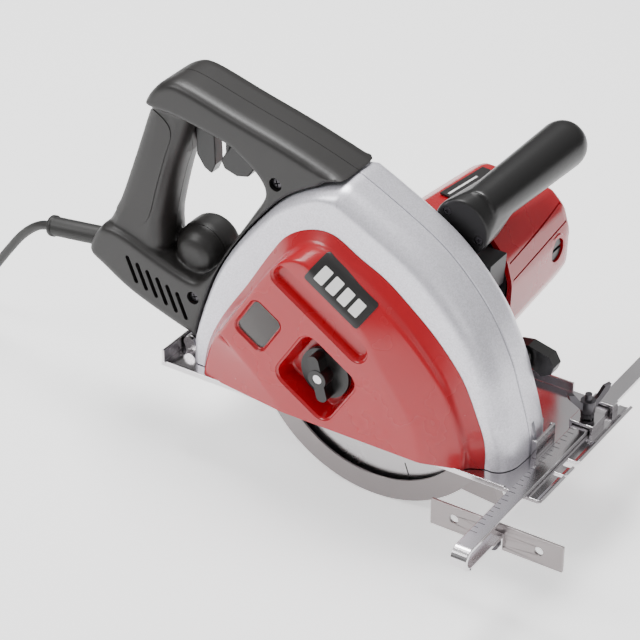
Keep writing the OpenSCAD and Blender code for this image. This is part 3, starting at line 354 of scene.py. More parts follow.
# The same nylon in black, a little glossier where it is handled.
BLACK_NYLON = Finish("black_nylon_moulded", "0f0e0e", 0.32, grain_mm=0.9, bump=0.35, mottle=0.08)
# Thermoplastic rubber panel: close to the nylon's colour but softer in gloss.
SOFT_TPE = Finish("soft_grip_elastomer", "201e1d", 0.50, grain_mm=0.6, bump=0.35, mottle=0.06)
# Nickel-plated pressed steel.
PLATED = PlatedSteel("nickel_plated_steel", "cfccce", 0.17, 1.0, bump=0.12, mottle=0.05)
# Zinc-passivated steel of the lower guard: greyer and more satin.
SATIN_STEEL = PlatedSteel("zinc_passivated_steel", "8d8787", 0.36, 1.0, bump=0.2, mottle=0.06)
# Black-oxide screws, springs and gears.
BLACK_OXIDE = Finish("black_oxide_steel", "4d4b4e", 0.34, 0.9, 0.8, 0.2, 0.15)
# Ground tool steel of the blade.
BLADE_STEEL = GroundSteel("ground_tool_steel", "c4c1c2", 0.26, 1.0, 0.8, 0.25, 0.08)
# Black-coated die casting of the gear case: dark, sandy, soft.
CAST_ALU = Finish("black_coated_die_casting", "3a3a3c", 0.45, 0.3, 1.2, 0.35, 0.10)
# Copper of the commutator and the brush holders.
COPPER = Finish("drawn_copper", "b4704a", 0.30, 1.0, 0.8, 0.15, 0.10)
# Laminated electrical steel: dull, with its sheets as fine lines across the axis.
LAMINATE = PlatedSteel("laminated_steel", "7d7b7a", 0.45, 1.0, bump=0.4, mottle=0.12)
# Smoked window.
SMOKED = SmokedPane("smoked_polycarbonate", "57504e", 0.18, grain_mm=2.0, bump=0.1)
# Printed polyester plate, blank.
PLATE_BLACK = Finish("printed_polyester_black", "1f1d1d", 0.38, grain_mm=1.0, bump=0.08, mottle=0.05)
# Pale print on the plates.
PLATE_WHITE = Finish("printed_polyester_white", "e9e8e6", 0.42, grain_mm=1.0, bump=0.05, mottle=0.03)
# Rubber-sheathed lead.
RUBBER_LEAD = Finish("rubber_sheathed_lead", "1c1b1a", 0.50, grain_mm=0.7, bump=0.3, mottle=0.1)


@dataclass
class Palette:
    """Builds each finish once and hands out its material."""

    made: dict[str, bpy.types.Material] = field(default_factory=dict)

    def of(self, finish: Finish) -> bpy.types.Material:
        """Hands out the material of a finish, built on first use.

        Args:
            finish: The finish.

        Returns:
            Its material.
        """
        if finish.name not in self.made:
            self.made[finish.name] = finish.build()
        return self.made[finish.name]


def dress(obj: bpy.types.Object, material: bpy.types.Material) -> None:
    """Gives an object one material in all of its slots.

    Args:
        obj: The object to dress.
        material: Its material.
    """
    slots = obj.data.materials
    if not slots:
        slots.append(material)
    for i in range(len(slots)):
        slots[i] = material


# ------------------------------------------------------------------ outlines


def shifted(points: Sequence[Point2]) -> Outline:
    """Points given about the blade's axis, put in the frame."""
    return [(x + BLADE_AXIS[0], z + BLADE_AXIS[1]) for x, z in points]


def spline_loop(points: Sequence[Point2], per: int, corners: Sequence[int] = ()) -> Outline:
    """A smooth closed curve through points, straight-sided where both ends are corners.

    Args:
        points: The outline's points.
        per: Steps from each point to the next.
        corners: Indices of points where the curve turns sharply.

    Returns:
        The dense outline.
    """
    n = len(points)
    sharp = set(i % n for i in corners)
    out: Outline = []
    for i in range(n):
        b, c = Vector(points[i]), Vector(points[(i + 1) % n])
        tb = Vector((0, 0)) if i in sharp else (c - Vector(points[i - 1])) * 0.5
        tc = Vector((0, 0)) if (i + 1) % n in sharp else (Vector(points[(i + 2) % n]) - b) * 0.5
        if i in sharp:
            tb = c - b if (i + 1) % n in sharp else (c - b) * 1.5 - tc * 0.5
        if (i + 1) % n in sharp:
            tc = c - b if i in sharp else (c - b) * 1.5 - tb * 0.5
        limit = (c - b).length * 1.6
        for t_vec in (tb, tc):
            if t_vec.length > limit:
                t_vec *= limit / t_vec.length
        for k in range(per):
            t = k / per
            h = ((2 * t**3 - 3 * t**2 + 1) * b + (t**3 - 2 * t**2 + t) * tb
                 + (-2 * t**3 + 3 * t**2) * c + (t**3 - t**2) * tc)
            out.append((h.x, h.y))
    return out


def spread(values: Sequence[float], per: int) -> list[float]:
    """Values at an outline's points, spread evenly to its dense points."""
    n = len(values)
    return [values[i] + (values[(i + 1) % n] - values[i]) * k / per for i in range(n) for k in range(per)]


def inset(points: Sequence[Point2], depth: float | Sequence[float], foot: int = 0) -> Outline:
    """An outline, drawn anticlockwise, moved inwards.

    Args:
        points: The outline.
        depth: How far, for all points or for each; negative moves outwards.
        foot: Where the curve from the first point ends and a level foot begins; the foot stays level.

    Returns:
        The new outline, with as many points.
    """
    n = len(points)
    out: Outline = []
    for i in range(n):
        a, b, c = Vector(points[i - 1]), Vector(points[i]), Vector(points[(i + 1) % n])
        if foot and i > foot:
            out.append(points[i])
            continue
        u, v = (b - a).normalized(), (c - b).normalized()
        if foot and i == 0:
            u = v
        if foot and i == foot:
            v = u
        nu, nv = Vector((-u.y, u.x)), Vector((-v.y, v.x))
        s = nu + nv
        s = s.normalized() if s.length > 1e-6 else nu
        d = depth if isinstance(depth, (int, float)) else depth[i]
        p = b + s * d / max(0.6, nu.dot(s))
        out.append((p.x, p.y))
    return out


def rounded_rect(w: float, h: float, r: float, steps: int = 8) -> Outline:
    """A rectangle with round corners, anticlockwise, about the origin.

    Args:
        w: Its width.
        h: Its height.
        r: Its corners' radius.
        steps: Steps round each corner.

    Returns:
        The outline.
    """
    out: Outline = []
    for q, (sx, sy) in enumerate(((1, 1), (-1, 1), (-1, -1), (1, -1))):
        for i in range(steps + 1):
            a = math.radians(q * 90 + 90 * i / steps)
            out.append((sx * (w / 2 - r) + r * math.cos(a), sy * (h / 2 - r) + r * math.sin(a)))
    return out


def turned(points: Sequence[Point2], degrees: float, centre: Point2) -> Outline:
    """Points turned about the origin, then moved to a centre."""
    c, s = math.cos(math.radians(degrees)), math.sin(math.radians(degrees))
    return [(centre[0] + x * c - y * s, centre[1] + x * s + y * c) for x, y in points]


def circle(centre: Point2, r: float, n: int = 48) -> Outline:
    """A circle as an outline."""
    return [(centre[0] + r * math.cos(math.tau * i / n), centre[1] + r * math.sin(math.tau * i / n))
            for i in range(n)]


def rounded_corner(a: Vector, b: Vector, c: Vector, reach: Point2, steps: int) -> list[Vector]:
    """The corner at b, between a and c, replaced by a parabola.

    Args:
        a: The point before the corner.
        b: The corner.
        c: The point after it.
        reach: How far the curve reaches towards a and towards c.
        steps: Steps along the curve.

    Returns:
        The curve's points.
    """
    first = b + (a - b).normalized() * reach[0]
    last = b + (c - b).normalized() * reach[1]
    shares = [k / steps for k in range(steps + 1)]
    return [(1 - t) ** 2 * first + 2 * t * (1 - t) * b + t**2 * last for t in shares]


# ------------------------------------------------------------------ mesh helpers


def new_object(name: str, verts: Sequence[Sequence[float]], faces: Sequence[Sequence[int]],
               scale: float = MM) -> bpy.types.Object:
    """A mesh object from points in millimetres, with its normals facing out.

    Args:
        name: The object's name.
        verts: Points.
        faces: Point indices of each face.
        scale: Metres in one unit of the points.

    Returns:
        The object, linked to the scene.
    """
    mesh = bpy.data.meshes.new(name)
    mesh.from_pydata([tuple(c * scale for c in v) for v in verts], [], [tuple(f) for f in faces])
    bm = bmesh.new()
    bm.from_mesh(mesh)
    bmesh.ops.recalc_face_normals(bm, faces=bm.faces)
    bm.to_mesh(mesh)
    bm.free()
    obj = bpy.data.objects.new(name, mesh)
    bpy.context.scene.collection.objects.link(obj)
    return obj


def skinned(name: str, rings: Sequence[Sequence[Sequence[float]]]) -> bpy.types.Object:
    """A closed skin over rings of points, flat at both ends.

    Args:
        name: The object's name.
        rings: The rings in order, with equal numbers of points.

    Returns:
        The solid.
    """
    n, last = len(rings[0]), len(rings) - 1
    faces: list[Sequence[int]] = [list(range(n)), list(range(last * n, (last + 1) * n))]
    for k in range(last):
        faces += [(k * n + i, k * n + (i + 1) % n, (k + 1) * n + (i + 1) % n, (k + 1) * n + i)
                  for i in range(n)]
    return new_object(name, [point for ring in rings for point in ring], faces)


def slabs(name: str, blocks: Sequence[Sequence[Sequence[float]]]) -> bpy.types.Object:
    """Thin four-cornered blocks in one mesh.

    Args:
        name: The object's name.
        blocks: Eight corners of each block, the lower four and then the upper four.

    Returns:
        The blocks.
    """
    verts: list[Sequence[float]] = []
    faces: list[Sequence[int]] = []
    for corners in blocks:
        n = len(verts)
        verts += corners
        faces += [(n, n + 1, n + 2, n + 3), (n + 4, n + 5, n + 6, n + 7)]
        faces += [(n + i, n + (i + 1) % 4, n + 4 + (i + 1) % 4, n + 4 + i) for i in range(4)]
    return new_object(name, verts, faces)


def loft(name: str, rings: Sequence[tuple[float, Sequence[Point2]]]) -> bpy.types.Object:
    """A closed skin over outlines in X and Z, each at its own Y."""
    return skinned(name, [[(x, y, z) for x, z in ring] for y, ring in rings])


def prism(name: str, outline: Sequence[Point2], y0: float, y1: float) -> bpy.types.Object:
    """An outline in X and Z made solid from y0 to y1."""
    return loft(name, [(y0, outline), (y1, outline)])


def box(name: str, lo: Point3, hi: Point3) -> bpy.types.Object:
    """A plain cutter block between two corners."""
    return prism(name, [(lo[0], lo[2]), (hi[0], lo[2]), (hi[0], hi[2]), (lo[0], hi[2])], lo[1], hi[1])


def settle(obj: bpy.types.Object) -> bpy.types.Object:
    """Applies an object's modifiers to its mesh.

    Args:
        obj: The object.

    Returns:
        The same object.
    """
    bpy.context.view_layer.update()
    graph = bpy.context.evaluated_depsgraph_get()
    mesh = bpy.data.meshes.new_from_object(obj.evaluated_get(graph))
    obj.modifiers.clear()
    old, obj.data = obj.data, mesh
    bpy.data.meshes.remove(old)
    return obj


def combine(a: bpy.types.Object, tools: Sequence[bpy.types.Object], how: str) -> bpy.types.Object:
    """Joins, cuts or intersects a solid with others, which are used up.

    Args:
        a: The solid that is kept.
        tools: The other solids.
        how: "UNION", "DIFFERENCE" or "INTERSECT".

    Returns:
        The changed solid.
    """
    for tool in tools:
        mod = a.modifiers.new("combine", "BOOLEAN")
        mod.operation = how
        mod.solver = "EXACT"
        mod.object = tool
        settle(a)
        bpy.data.objects.remove(tool)
    return a


def pooled(parts: Sequence[bpy.types.Object]) -> bpy.types.Object:
    """Puts several meshes in the first one, which a remesh then melts together.

    Args:
        parts: The objects; all but the first are used up.

    Returns:
        The first one.
    """
    bm = bmesh.new()
    for part in parts:
        bm.from_mesh(part.data)
    bm.to_mesh(parts[0].data)
    bm.free()
    for part in parts[1:]:
        bpy.data.objects.remove(part)
    return parts[0]


def smooth(obj: bpy.types.Object, angle: float = 32.0, bevel_mm: float = 0.0,
           segments: int = 2) -> bpy.types.Object:
    """Rounds sharp edges and shades the rest smooth.

    Args:
        obj: The object.
        angle: Edges that turn more than this many degrees are sharp.
        bevel_mm: Width of the rounding on the sharp edges; 0 leaves them.
        segments: Steps across the rounding.

    Returns:
        The same object.
    """
    if bevel_mm:
        mod = obj.modifiers.new("edge_round", "BEVEL")
        mod.width = bevel_mm * MM
        mod.segments = segments
        mod.limit_method = "ANGLE"
        mod.angle_limit = math.radians(angle)
        mod.harden_normals = True
        mod.use_clamp_overlap = True
    limit = math.cos(math.radians(angle))
    mesh = obj.data
    bm = bmesh.new()
    bm.from_mesh(mesh)
    for f in bm.faces:
        f.smooth = True
    for e in bm.edges:
        if len(e.link_faces) == 2:
            e.smooth = e.link_faces[0].normal.dot(e.link_faces[1].normal) > limit
    bm.to_mesh(mesh)
    bm.free()
    return obj


def remeshed(obj: bpy.types.Object, voxel_mm: float, passes: int, keep: float = 1.0) -> bpy.types.Object:
    """Melts a union of solids into one moulded form with soft inner corners.

    Args:
        obj: The solid.
        voxel_mm: Size of the remesh's cells.
        passes: Smoothing passes; more give rounder corners.
        keep: Share of faces kept after thinning.

    Returns:
        The changed solid.
    """
    mod = obj.modifiers.new("melt", "REMESH")
    mod.mode = "VOXEL"
    mod.voxel_size = voxel_mm * MM
    soft = obj.modifiers.new("soften", "SMOOTH")
    soft.factor = 0.5
    soft.iterations = passes
    if keep < 1.0:
        thin = obj.modifiers.new("thin", "DECIMATE")
        thin.ratio = keep
    return settle(obj)


def halved(obj: bpy.types.Object, name: str, y_mm: float, near: bool) -> bpy.types.Object:
    """A copy of a closed solid, cut at a plane across Y and closed there.

    Args:
        obj: The solid.
        name: The copy's name.
        y_mm: The plane.
        near: True keeps what is below the plane in Y.

    Returns:
        The half.
    """
    copy = bpy.data.objects.new(name, obj.data.copy())
    bpy.context.scene.collection.objects.link(copy)
    bm = bmesh.new()
    bm.from_mesh(copy.data)
    cut = bmesh.ops.bisect_plane(bm, geom=bm.verts[:] + bm.edges[:] + bm.faces[:],
                                 plane_co=(0, y_mm * MM, 0), plane_no=(0, 1, 0),
                                 clear_outer=near, clear_inner=not near)
    rim = [e for e in cut["geom_cut"] if isinstance(e, bmesh.types.BMEdge)]
    bmesh.ops.triangle_fill(bm, edges=rim, use_beauty=True)
    bmesh.ops.recalc_face_normals(bm, faces=bm.faces)
    bm.to_mesh(copy.data)
    bm.free()
    return copy


def tube(name: str, path: Sequence[Point3], radius_mm: float, resolution: int = 8) -> bpy.types.Object:
    """A round bar or lead as a poly curve.

    Args:
        name: The object's name.
        path: Points in millimetres.
        radius_mm: Its radius.
        resolution: Sides in a quarter of its section.

    Returns:
        The curve object.
    """
    data = bpy.data.curves.new(name, "CURVE")
    data.dimensions = "3D"
    data.bevel_depth = radius_mm * MM
    data.bevel_resolution = resolution
    data.use_fill_caps = True
    line = data.splines.new("POLY")
    line.points.add(len(path) - 1)
    for point, at in zip(line.points, path):
        point.co = (at[0] * MM, at[1] * MM, at[2] * MM, 1)
    line.use_smooth = True
    obj = bpy.data.objects.new(name, data)
    bpy.context.scene.collection.objects.link(obj)
    return obj


def fitted(obj: bpy.types.Object, material: bpy.types.Material, body: Body, replaces: Sequence[str] = (),
           crease: float = 0.0) -> None:
    """Finishes a piece, makes it ride on its body and stand for its CAD nodes.

    Args:
        obj: The piece.
        material: Its finish's material.
        body: What it moves with.
        replaces: CAD nodes that it stands for.
        crease: Edges that turn more than this many degrees stay sharp; 0 leaves the shading.
    """
    if crease:
        smooth(obj, crease)
    dress(obj, material)
    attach(obj, body.value)
    if replaces:
        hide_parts(*replaces)
    LOG.info("piece %s on %s", obj.name, body.value)


# ------------------------------------------------------------------ studio


@dataclass
class Studio:
    """Pale floor, soft lights and the camera."""

    eye: Point3 = (734.8, -1203.9, 969.4)
    target: Point3 = (-42.5, -6.0, 60.3)
    lens: float = 139.8
    floor_z: float = FLOOR_Z

    def camera(self) -> None:
        """Puts the camera at its place, level, looking at the saw."""
        data = bpy.data.cameras.new("camera")
        data.lens = self.lens
        data.sensor_width = 36.0
        data.clip_end = 50
        cam = bpy.data.objects.new("camera", data)
        bpy.context.scene.collection.objects.link(cam)
        eye, target = Vector(self.eye) * MM, Vector(self.target) * MM
        look = (eye - target).normalized()
        side = Vector((0, 0, 1)).cross(look).normalized()
        up = look.cross(side)
        cam.matrix_world = Matrix.Translation(eye) @ Matrix((side, up, look)).transposed().to_4x4()
        bpy.context.scene.camera = cam

    def light(self, name: str, at: Point3, size: float, power: float) -> None:
        """Adds one square soft light that faces the saw.

        Args:
            name: The light's name.
            at: Its place in metres.
            size: Its side in metres.
            power: Its power in watts.
        """
        data = bpy.data.lights.new(name, "AREA")
        data.size = size
        data.energy = power
        lamp = bpy.data.objects.new(name, data)
        lamp.location = at
        aim = (Vector(self.target) * MM - Vector(at)).to_track_quat("-Z", "Y")
        lamp.rotation_euler = aim.to_euler()
        bpy.context.scene.collection.objects.link(lamp)

    def build(self) -> None:
        """Builds the floor, the lights and the sky."""
        reach, z = 9, self.floor_z * MM
        corners = [(-reach, -reach, z), (reach, -reach, z), (reach, reach, z), (-reach, reach, z)]
        floor = new_object("studio_floor", corners, [(0, 1, 2, 3)], 1.0)
        paper = bpy.data.materials.new("studio_paper")
        paper.use_nodes = True
        shader = paper.node_tree.nodes["Principled BSDF"]
        shader.inputs["Base Color"].default_value = linear("f6f6f6")
        shader.inputs["Roughness"].default_value = 0.9
        shader.inputs["Emission Color"].default_value = linear("ffffff")
        shader.inputs["Emission Strength"].default_value = 0.75
        floor.data.materials.append(paper)
        world = bpy.data.worlds.new("studio_sky")
        world.use_nodes = True
        tree = world.node_tree
        split = node(tree, "ShaderNodeSeparateXYZ", i0=node(tree, "ShaderNodeTexCoord").outputs["Generated"])
        rise = node(tree, "ShaderNodeMapRange", {"From Min": 0.0, "From Max": 0.9, "To Min": 0.10,
                                                 "To Max": 0.85}, Value=split.outputs["Z"])
        tree.links.new(rise.outputs["Result"], tree.nodes["Background"].inputs["Strength"])
        tree.nodes["Background"].inputs["Color"].default_value = (1, 1, 1, 1)
        bpy.context.scene.world = world
        self.light("key_light", (-1.1, -1.2, 1.5), 0.8, 20)
        self.light("fill_light", (1.9, -1.0, 1.1), 1.0, 3)
        self.light("top_light", (-0.5, 0.4, 2.2), 1.0, 62)


# ------------------------------------------------------------------ mains lead


@dataclass
class MainsLead:
    """The rubber lead, its bend protector, coil and plug."""

    diameter: float = 6.8
    seam_y: float = SEAM
    sleeve_len: float = 60.0
    sleeve_drop: float = 7.3
    mouth: Point2 = (-222.0, 61.5)
    coil_mean: float = 78.0
    rows: tuple[int, ...] = (4, 4, 4)
    way_in_deg: float = 80.0
    way_out_deg: float = 115.0
    floor_z: float = FLOOR_Z
    way: tuple[Point3, ...] = (
        (0, 0, 0), (-14, 0, 0.04), (-30, 1, 0.15), (-46, 2, 0.31), (-62, 4, 0.48), (-82, 8, 0.67),
        (-104, 18, 0.84), (-128, 38, 0.96), (-154, 62, 1), (-184, 88, 1), (-216, 114, 1),
        (-250, 141, 1), (-284, 167, 1), (-316, 186, 1))

    def end_of_sleeve(self) -> Vector:
        """The point where the lead comes out of the bend protector."""
        a = math.radians(self.sleeve_drop)
        return Vector((self.mouth[0] - self.sleeve_len * math.cos(a), self.seam_y,
                       self.mouth[1] - self.sleeve_len * math.sin(a)))

    def free_line(self, lay: float) -> list[Vector]:
        """The lead's stretch from the bend protector down to the floor and towards the coil.

        Args:
            lay: Height of its line where it lies on the floor.

        Returns:
            The stretch's points.
        """
        start = self.end_of_sleeve()
        drop = lay - start.z
        points = [Vector((start.x + x, self.seam_y + y, start.z + drop * t)) for x, y, t in self.way]
        steps = 90
        return [self.point_on(points, i / steps) for i in range(steps + 1)]

    def coil(self, centre: Vector, lay: float) -> list[Vector]:
        """The coil's turns, row on row, each row spiralling the other way from the one under it.

        Args:
            centre: The coil's centre.
            lay: Height of the lowest row's line.

        Returns:
            The turns' points.
        """
        steps = 40
        pitch = self.diameter * 1.03
        inner = self.coil_mean / 2 - 1.5 * pitch
        radii: list[float] = []
        heights: list[float] = []
        for row, count in enumerate(self.rows):
            for k in range(count * steps):
                t = k / (count * steps)
                radii.append(inner + pitch * 3 * (t if row % 2 else 1 - t))
                heights.append(lay + row * pitch * 0.88)
        over = round(steps * self.way_out_deg / 360)
        radii += [inner + 22 * k / over for k in range(over)]
        heights += [lay + 3 * pitch * 0.92] * over
        for _ in range(30):
            radii = self.eased(radii)
            heights = self.eased(heights)
        angles = [math.radians(self.way_in_deg) + math.tau * k / steps for k in range(len(radii))]
        return [centre + Vector((r * math.cos(a), r * math.sin(a), z))
                for a, r, z in zip(angles, radii, heights)]

    def route(self) -> list[Vector]:
        """The lead's line from the bend protector, through its coil, into the plug, in millimetres."""
        start = self.end_of_sleeve()
        lay = self.floor_z + self.diameter / 2 + 0.1
        free = self.free_line(lay)
        centre = Vector((start.x - 362, self.seam_y + 150, 0))
        coil = self.coil(centre, lay)
        plug_rear = Vector((centre.x - 14, centre.y - self.coil_mean / 2 - 40.45, self.floor_z + 18))
        lead_in = self.link(free[-1], free[-1] - free[-3], coil[0], coil[1] - coil[0])
        tail = self.link(coil[-1], coil[-1] - coil[-2], plug_rear, Vector((1, 0, 0)))
        return free + lead_in + coil + tail + [plug_rear]

    @staticmethod
    def point_on(p: Sequence[Vector], share: float) -> Vector:
        """A point of the smooth curve through the route's points.

        Args:
            p: The route's points.
            share: 0 at the first of them, 1 at the last.

        Returns:
            The point.
        """
        n = len(p) - 1
        x = min(share * n, n - 1e-6)
        i = int(x)
        t = x - i
        a, b, c, d = p[max(i - 1, 0)], p[i], p[i + 1], p[min(i + 2, n)]
        return 0.5 * ((2 * b) + (c - a) * t + (2 * a - 5 * b + 4 * c - d) * t * t
                      + (3 * b - a - 3 * c + d) * t**3)

    @staticmethod
    def link(a: Vector, along_a: Vector, b: Vector, along_b: Vector) -> list[Vector]:
        """A smooth link from one stretch to the next, tangent to both.

        Args:
            a: Where it starts.
            along_a: The way the line runs there.
            b: Where it ends.
            along_b: The way the line runs there.

        Returns:
            The points between the two ends.
        """
        span = (b - a).length
        ta, tb = along_a.normalized() * span, along_b.normalized() * span
        steps = 12
        out = []
        for k in range(1, steps):
            t = k / steps
            out.append((2 * t**3 - 3 * t**2 + 1) * a + (t**3 - 2 * t**2 + t) * ta
                       + (-2 * t**3 + 3 * t**2) * b + (t**3 - t**2) * tb)
        return out

    @staticmethod
    def eased(values: Sequence[float]) -> list[float]:
        """Values with the steps between them softened, their ends kept."""
        inside = [(values[i - 1] + 2 * values[i] + values[i + 1]) / 4 for i in range(1, len(values) - 1)]
        return [values[0], *inside, values[-1]]

    def build(self, paint: Palette, frame: dict[str, Any]) -> None:
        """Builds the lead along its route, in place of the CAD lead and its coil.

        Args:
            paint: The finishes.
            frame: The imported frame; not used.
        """
        line = self.route()
        lead = tube("mains_lead", [tuple(p) for p in line], self.diameter / 2, 4)
        fitted(lead, paint.of(RUBBER_LEAD), Body.MACHINE, ["cord", "cord_coil"])


# ------------------------------------------------------------------ guard


@dataclass
class Guard:
    """The two silver shells over the blade."""

    front: tuple[Point2, ...] = ((118, -40), (118, -22), (117, -10), (113, 6), (108, 22), (103, 38),
                                 (96, 54), (86, 72), (72, 90), (55, 107), (37, 120), (10, 135), (-16, 148))
    rear: tuple[Point2, ...] = ((-36, 142), (-62, 126), (-86, 100), (-106, 73), (-120, 48), (-132, 16),
                                (-139, -11), (-139, -40))
    seam: float = SEAM
    near: float = -26.0
    far: float = 30.0
    wall: float = 4.0
    pivot_r: float = 3.2
    depth_bolt: Point2 = (90.0, 57.0)
    per: int = 5

    @property
    def foot(self) -> int:
        """Where the dense outline's curve ends and its level foot begins."""
        return (len(self.front) + len(self.rear) - 1) * self.per

    def outline(self) -> Outline:
        """The seam outline, dense and smooth."""
        pts = shifted(self.front + self.rear)
        return spline_loop(pts, self.per, (0, len(self.front) - 1, len(pts) - 1))

    def soft(self, front: float, rear: float) -> list[float]:
        """How far each dense point comes in, from its front and rear values."""
        values = [front] * len(self.front) + [rear] * len(self.rear)
        return spread(values, self.per)

    def near_rings(self, shrink: float) -> list[tuple[float, Outline]]:
        """Rings of the near shell, from its face to the seam.

        Args:
            shrink: Wall to take off, for the hollow.

        Returns:
            Y and outline of each ring.
        """
        base = self.outline()
        rings = []
        for k in range(10, -1, -1):
            a = math.radians(9 * k)
            y = -8 - 18 * math.sin(a)
            come = 1 - math.cos(a)
            front, rear = 0.6 + 13.4 * come, 8.0 * come
            y += shrink * math.sin(a) if shrink else 0
            rings.append((y, inset(base, [d + shrink for d in self.soft(front, rear)], self.foot)))
        if shrink:
            return rings + [(self.seam + 1, inset(base, shrink, self.foot))]
        return rings + [(self.seam - 1.1, base), (self.seam - 0.4, inset(base, 0.6, self.foot))]

    def far_rings(self, shrink: float) -> list[tuple[float, Outline]]:
        """Rings of the far shell, from the seam to its face.

        Args:
            shrink: Wall to take off, for the hollow.

        Returns:
            Y and outline of each ring.
        """
        base = self.outline()
        rings = [(self.seam + 0.4, inset(base, 0.6, self.foot)), (self.seam + 1.1, base)]
        if shrink:
            rings = [(self.seam - 1, inset(base, shrink, self.foot))]
        for k in range(9):
            a = math.radians(90 * k / 8)
            come = 1 - math.cos(a)
            y = self.far - 11 + (11 - (self.wall if shrink else 0)) * math.sin(a)
            depths = [d + shrink for d in self.soft(0.6 + 8.4 * come, 6.0 * come)]
            rings.append((y, inset(base, depths, self.foot)))
        return rings

    def pivot_lug(self, y0: float, y1: float) -> bpy.types.Object:
        """The bored ear that turns on the base's rear pivot, from y0 to y1."""
        lug = prism("lug", self.capsule(PIVOT, 5, (-138, 11), 6), y0, y1)
        return combine(lug, [self.pivot_bore()], "DIFFERENCE")

    def pivot_bore(self) -> bpy.types.Object:
        """A cutter for the rear pivot's bore."""
        return prism("pivot", circle(PIVOT, self.pivot_r), -40, 40)

    def near_shell(self) -> bpy.types.Object:
        """The near shell, with the mouth that the chip cover closes and the arm for the knob's nut."""
        cover = Cover()
        mouth = inset(cover.loops()[0], 9, cover.foot)
        shell = loft("guard_shell_near", self.near_rings(0))
        arm = prism("arm", self.capsule(KNOB, 15, (-121, 54), 19), self.near - 3, self.near + 6)
        opening = combine(prism("mouth", mouth, self.near - 2, self.near + 5.5), [arm], "DIFFERENCE")
        hollow = loft("hollow", self.near_rings(self.wall))
        shell = combine(shell, [hollow, opening, box("below", *BELOW),
                                prism("nut", circle(KNOB, 4), -40, -15), self.pivot_bore()], "DIFFERENCE")
        return combine(shell, [self.pivot_lug(-9, self.seam)], "UNION")

    def far_shell(self) -> bpy.types.Object:
        """The far shell, with the gear case's hole, the depth slot and the slit in its nose."""
        shell = loft("guard_shell_far", self.far_rings(0))
        hollow = loft("hollow", self.far_rings(self.wall))
        along, up = self.depth_bolt[0] - PIVOT[0], self.depth_bolt[1] - PIVOT[1]
        slot_r, slot_a = math.hypot(along, up), math.degrees(math.atan2(up, along))
        arc = self.sector(PIVOT, (slot_r - 4.6, slot_r + 4.6), (slot_a - 11.2, slot_a + 1.1))
        shell = combine(shell, [hollow, box("below", *BELOW),
                                prism("hub", circle(BLADE_AXIS, 24.2, 64), 2, 33),
                                prism("arc", arc, 20, 34), box("slit", (104, 8, 10), (134, 12, 26))],
                        "DIFFERENCE")
        return combine(shell, [self.pivot_lug(self.seam, 20)], "UNION")

    def build(self, paint: Palette) -> None:
        """Builds both shells, and a black strip behind the slit in the nose that is painted shade for the
        slit's inside.

        Args:
            paint: The finishes.
        """
        near, far = self.near_shell(), self.far_shell()
        # Painted shade: a black strip behind the nose slit, where the saw has only shade inside the shell.
        shade = box("slit_painted_shade", (104, 5, 8), (107, 16, 28))
        fitted(shade, paint.of(BLACK_NYLON), Body.MACHINE)
        for shell, name in ((near, "guard_near"), (far, "guard_far")):
            fitted(shell, paint.of(SILVER), Body.MACHINE, [name], crease=40)

    @staticmethod
    def arc(c: Point2, r: float, start: float, sweep: float, n: int) -> Outline:
        """Points along an arc about c, from the start angle through the sweep, in radians."""
        return [(c[0] + r * math.cos(start + sweep * i / n), c[1] + r * math.sin(start + sweep * i / n))
                for i in range(n + 1)]

    @classmethod
    def capsule(cls, a: Point2, ra: float, b: Point2, rb: float) -> Outline:
        """Two circles joined by their tangents.

        Args:
            a: The first circle's centre.
            ra: Its radius.
            b: The second circle's centre.
            rb: Its radius.

        Returns:
            The outline.
        """
        way = math.atan2(b[1] - a[1], b[0] - a[0])
        half = math.acos((ra - rb) / math.dist(a, b))
        return cls.arc(b, rb, way - half, 2 * half, 16) + cls.arc(a, ra, way + half, math.tau - 2 * half, 16)

    @staticmethod
    def sector(c: Point2, radii: Point2, turn: Point2) -> Outline:
        """Part of a flat ring.

        Args:
            c: The ring's centre.
            radii: Its inner and outer radius.
            turn: The angles that it starts and ends at, in degrees.

        Returns:
            The outline.
        """
        n = 30
        angles = [math.radians(turn[0] + (turn[1] - turn[0]) * i / n) for i in range(n + 1)]
        around = [(radii[1], a) for a in angles] + [(radii[0], a) for a in reversed(angles)]
        return [(c[0] + r * math.cos(a), c[1] + r * math.sin(a)) for r, a in around]


# ------------------------------------------------------------------ chip cover


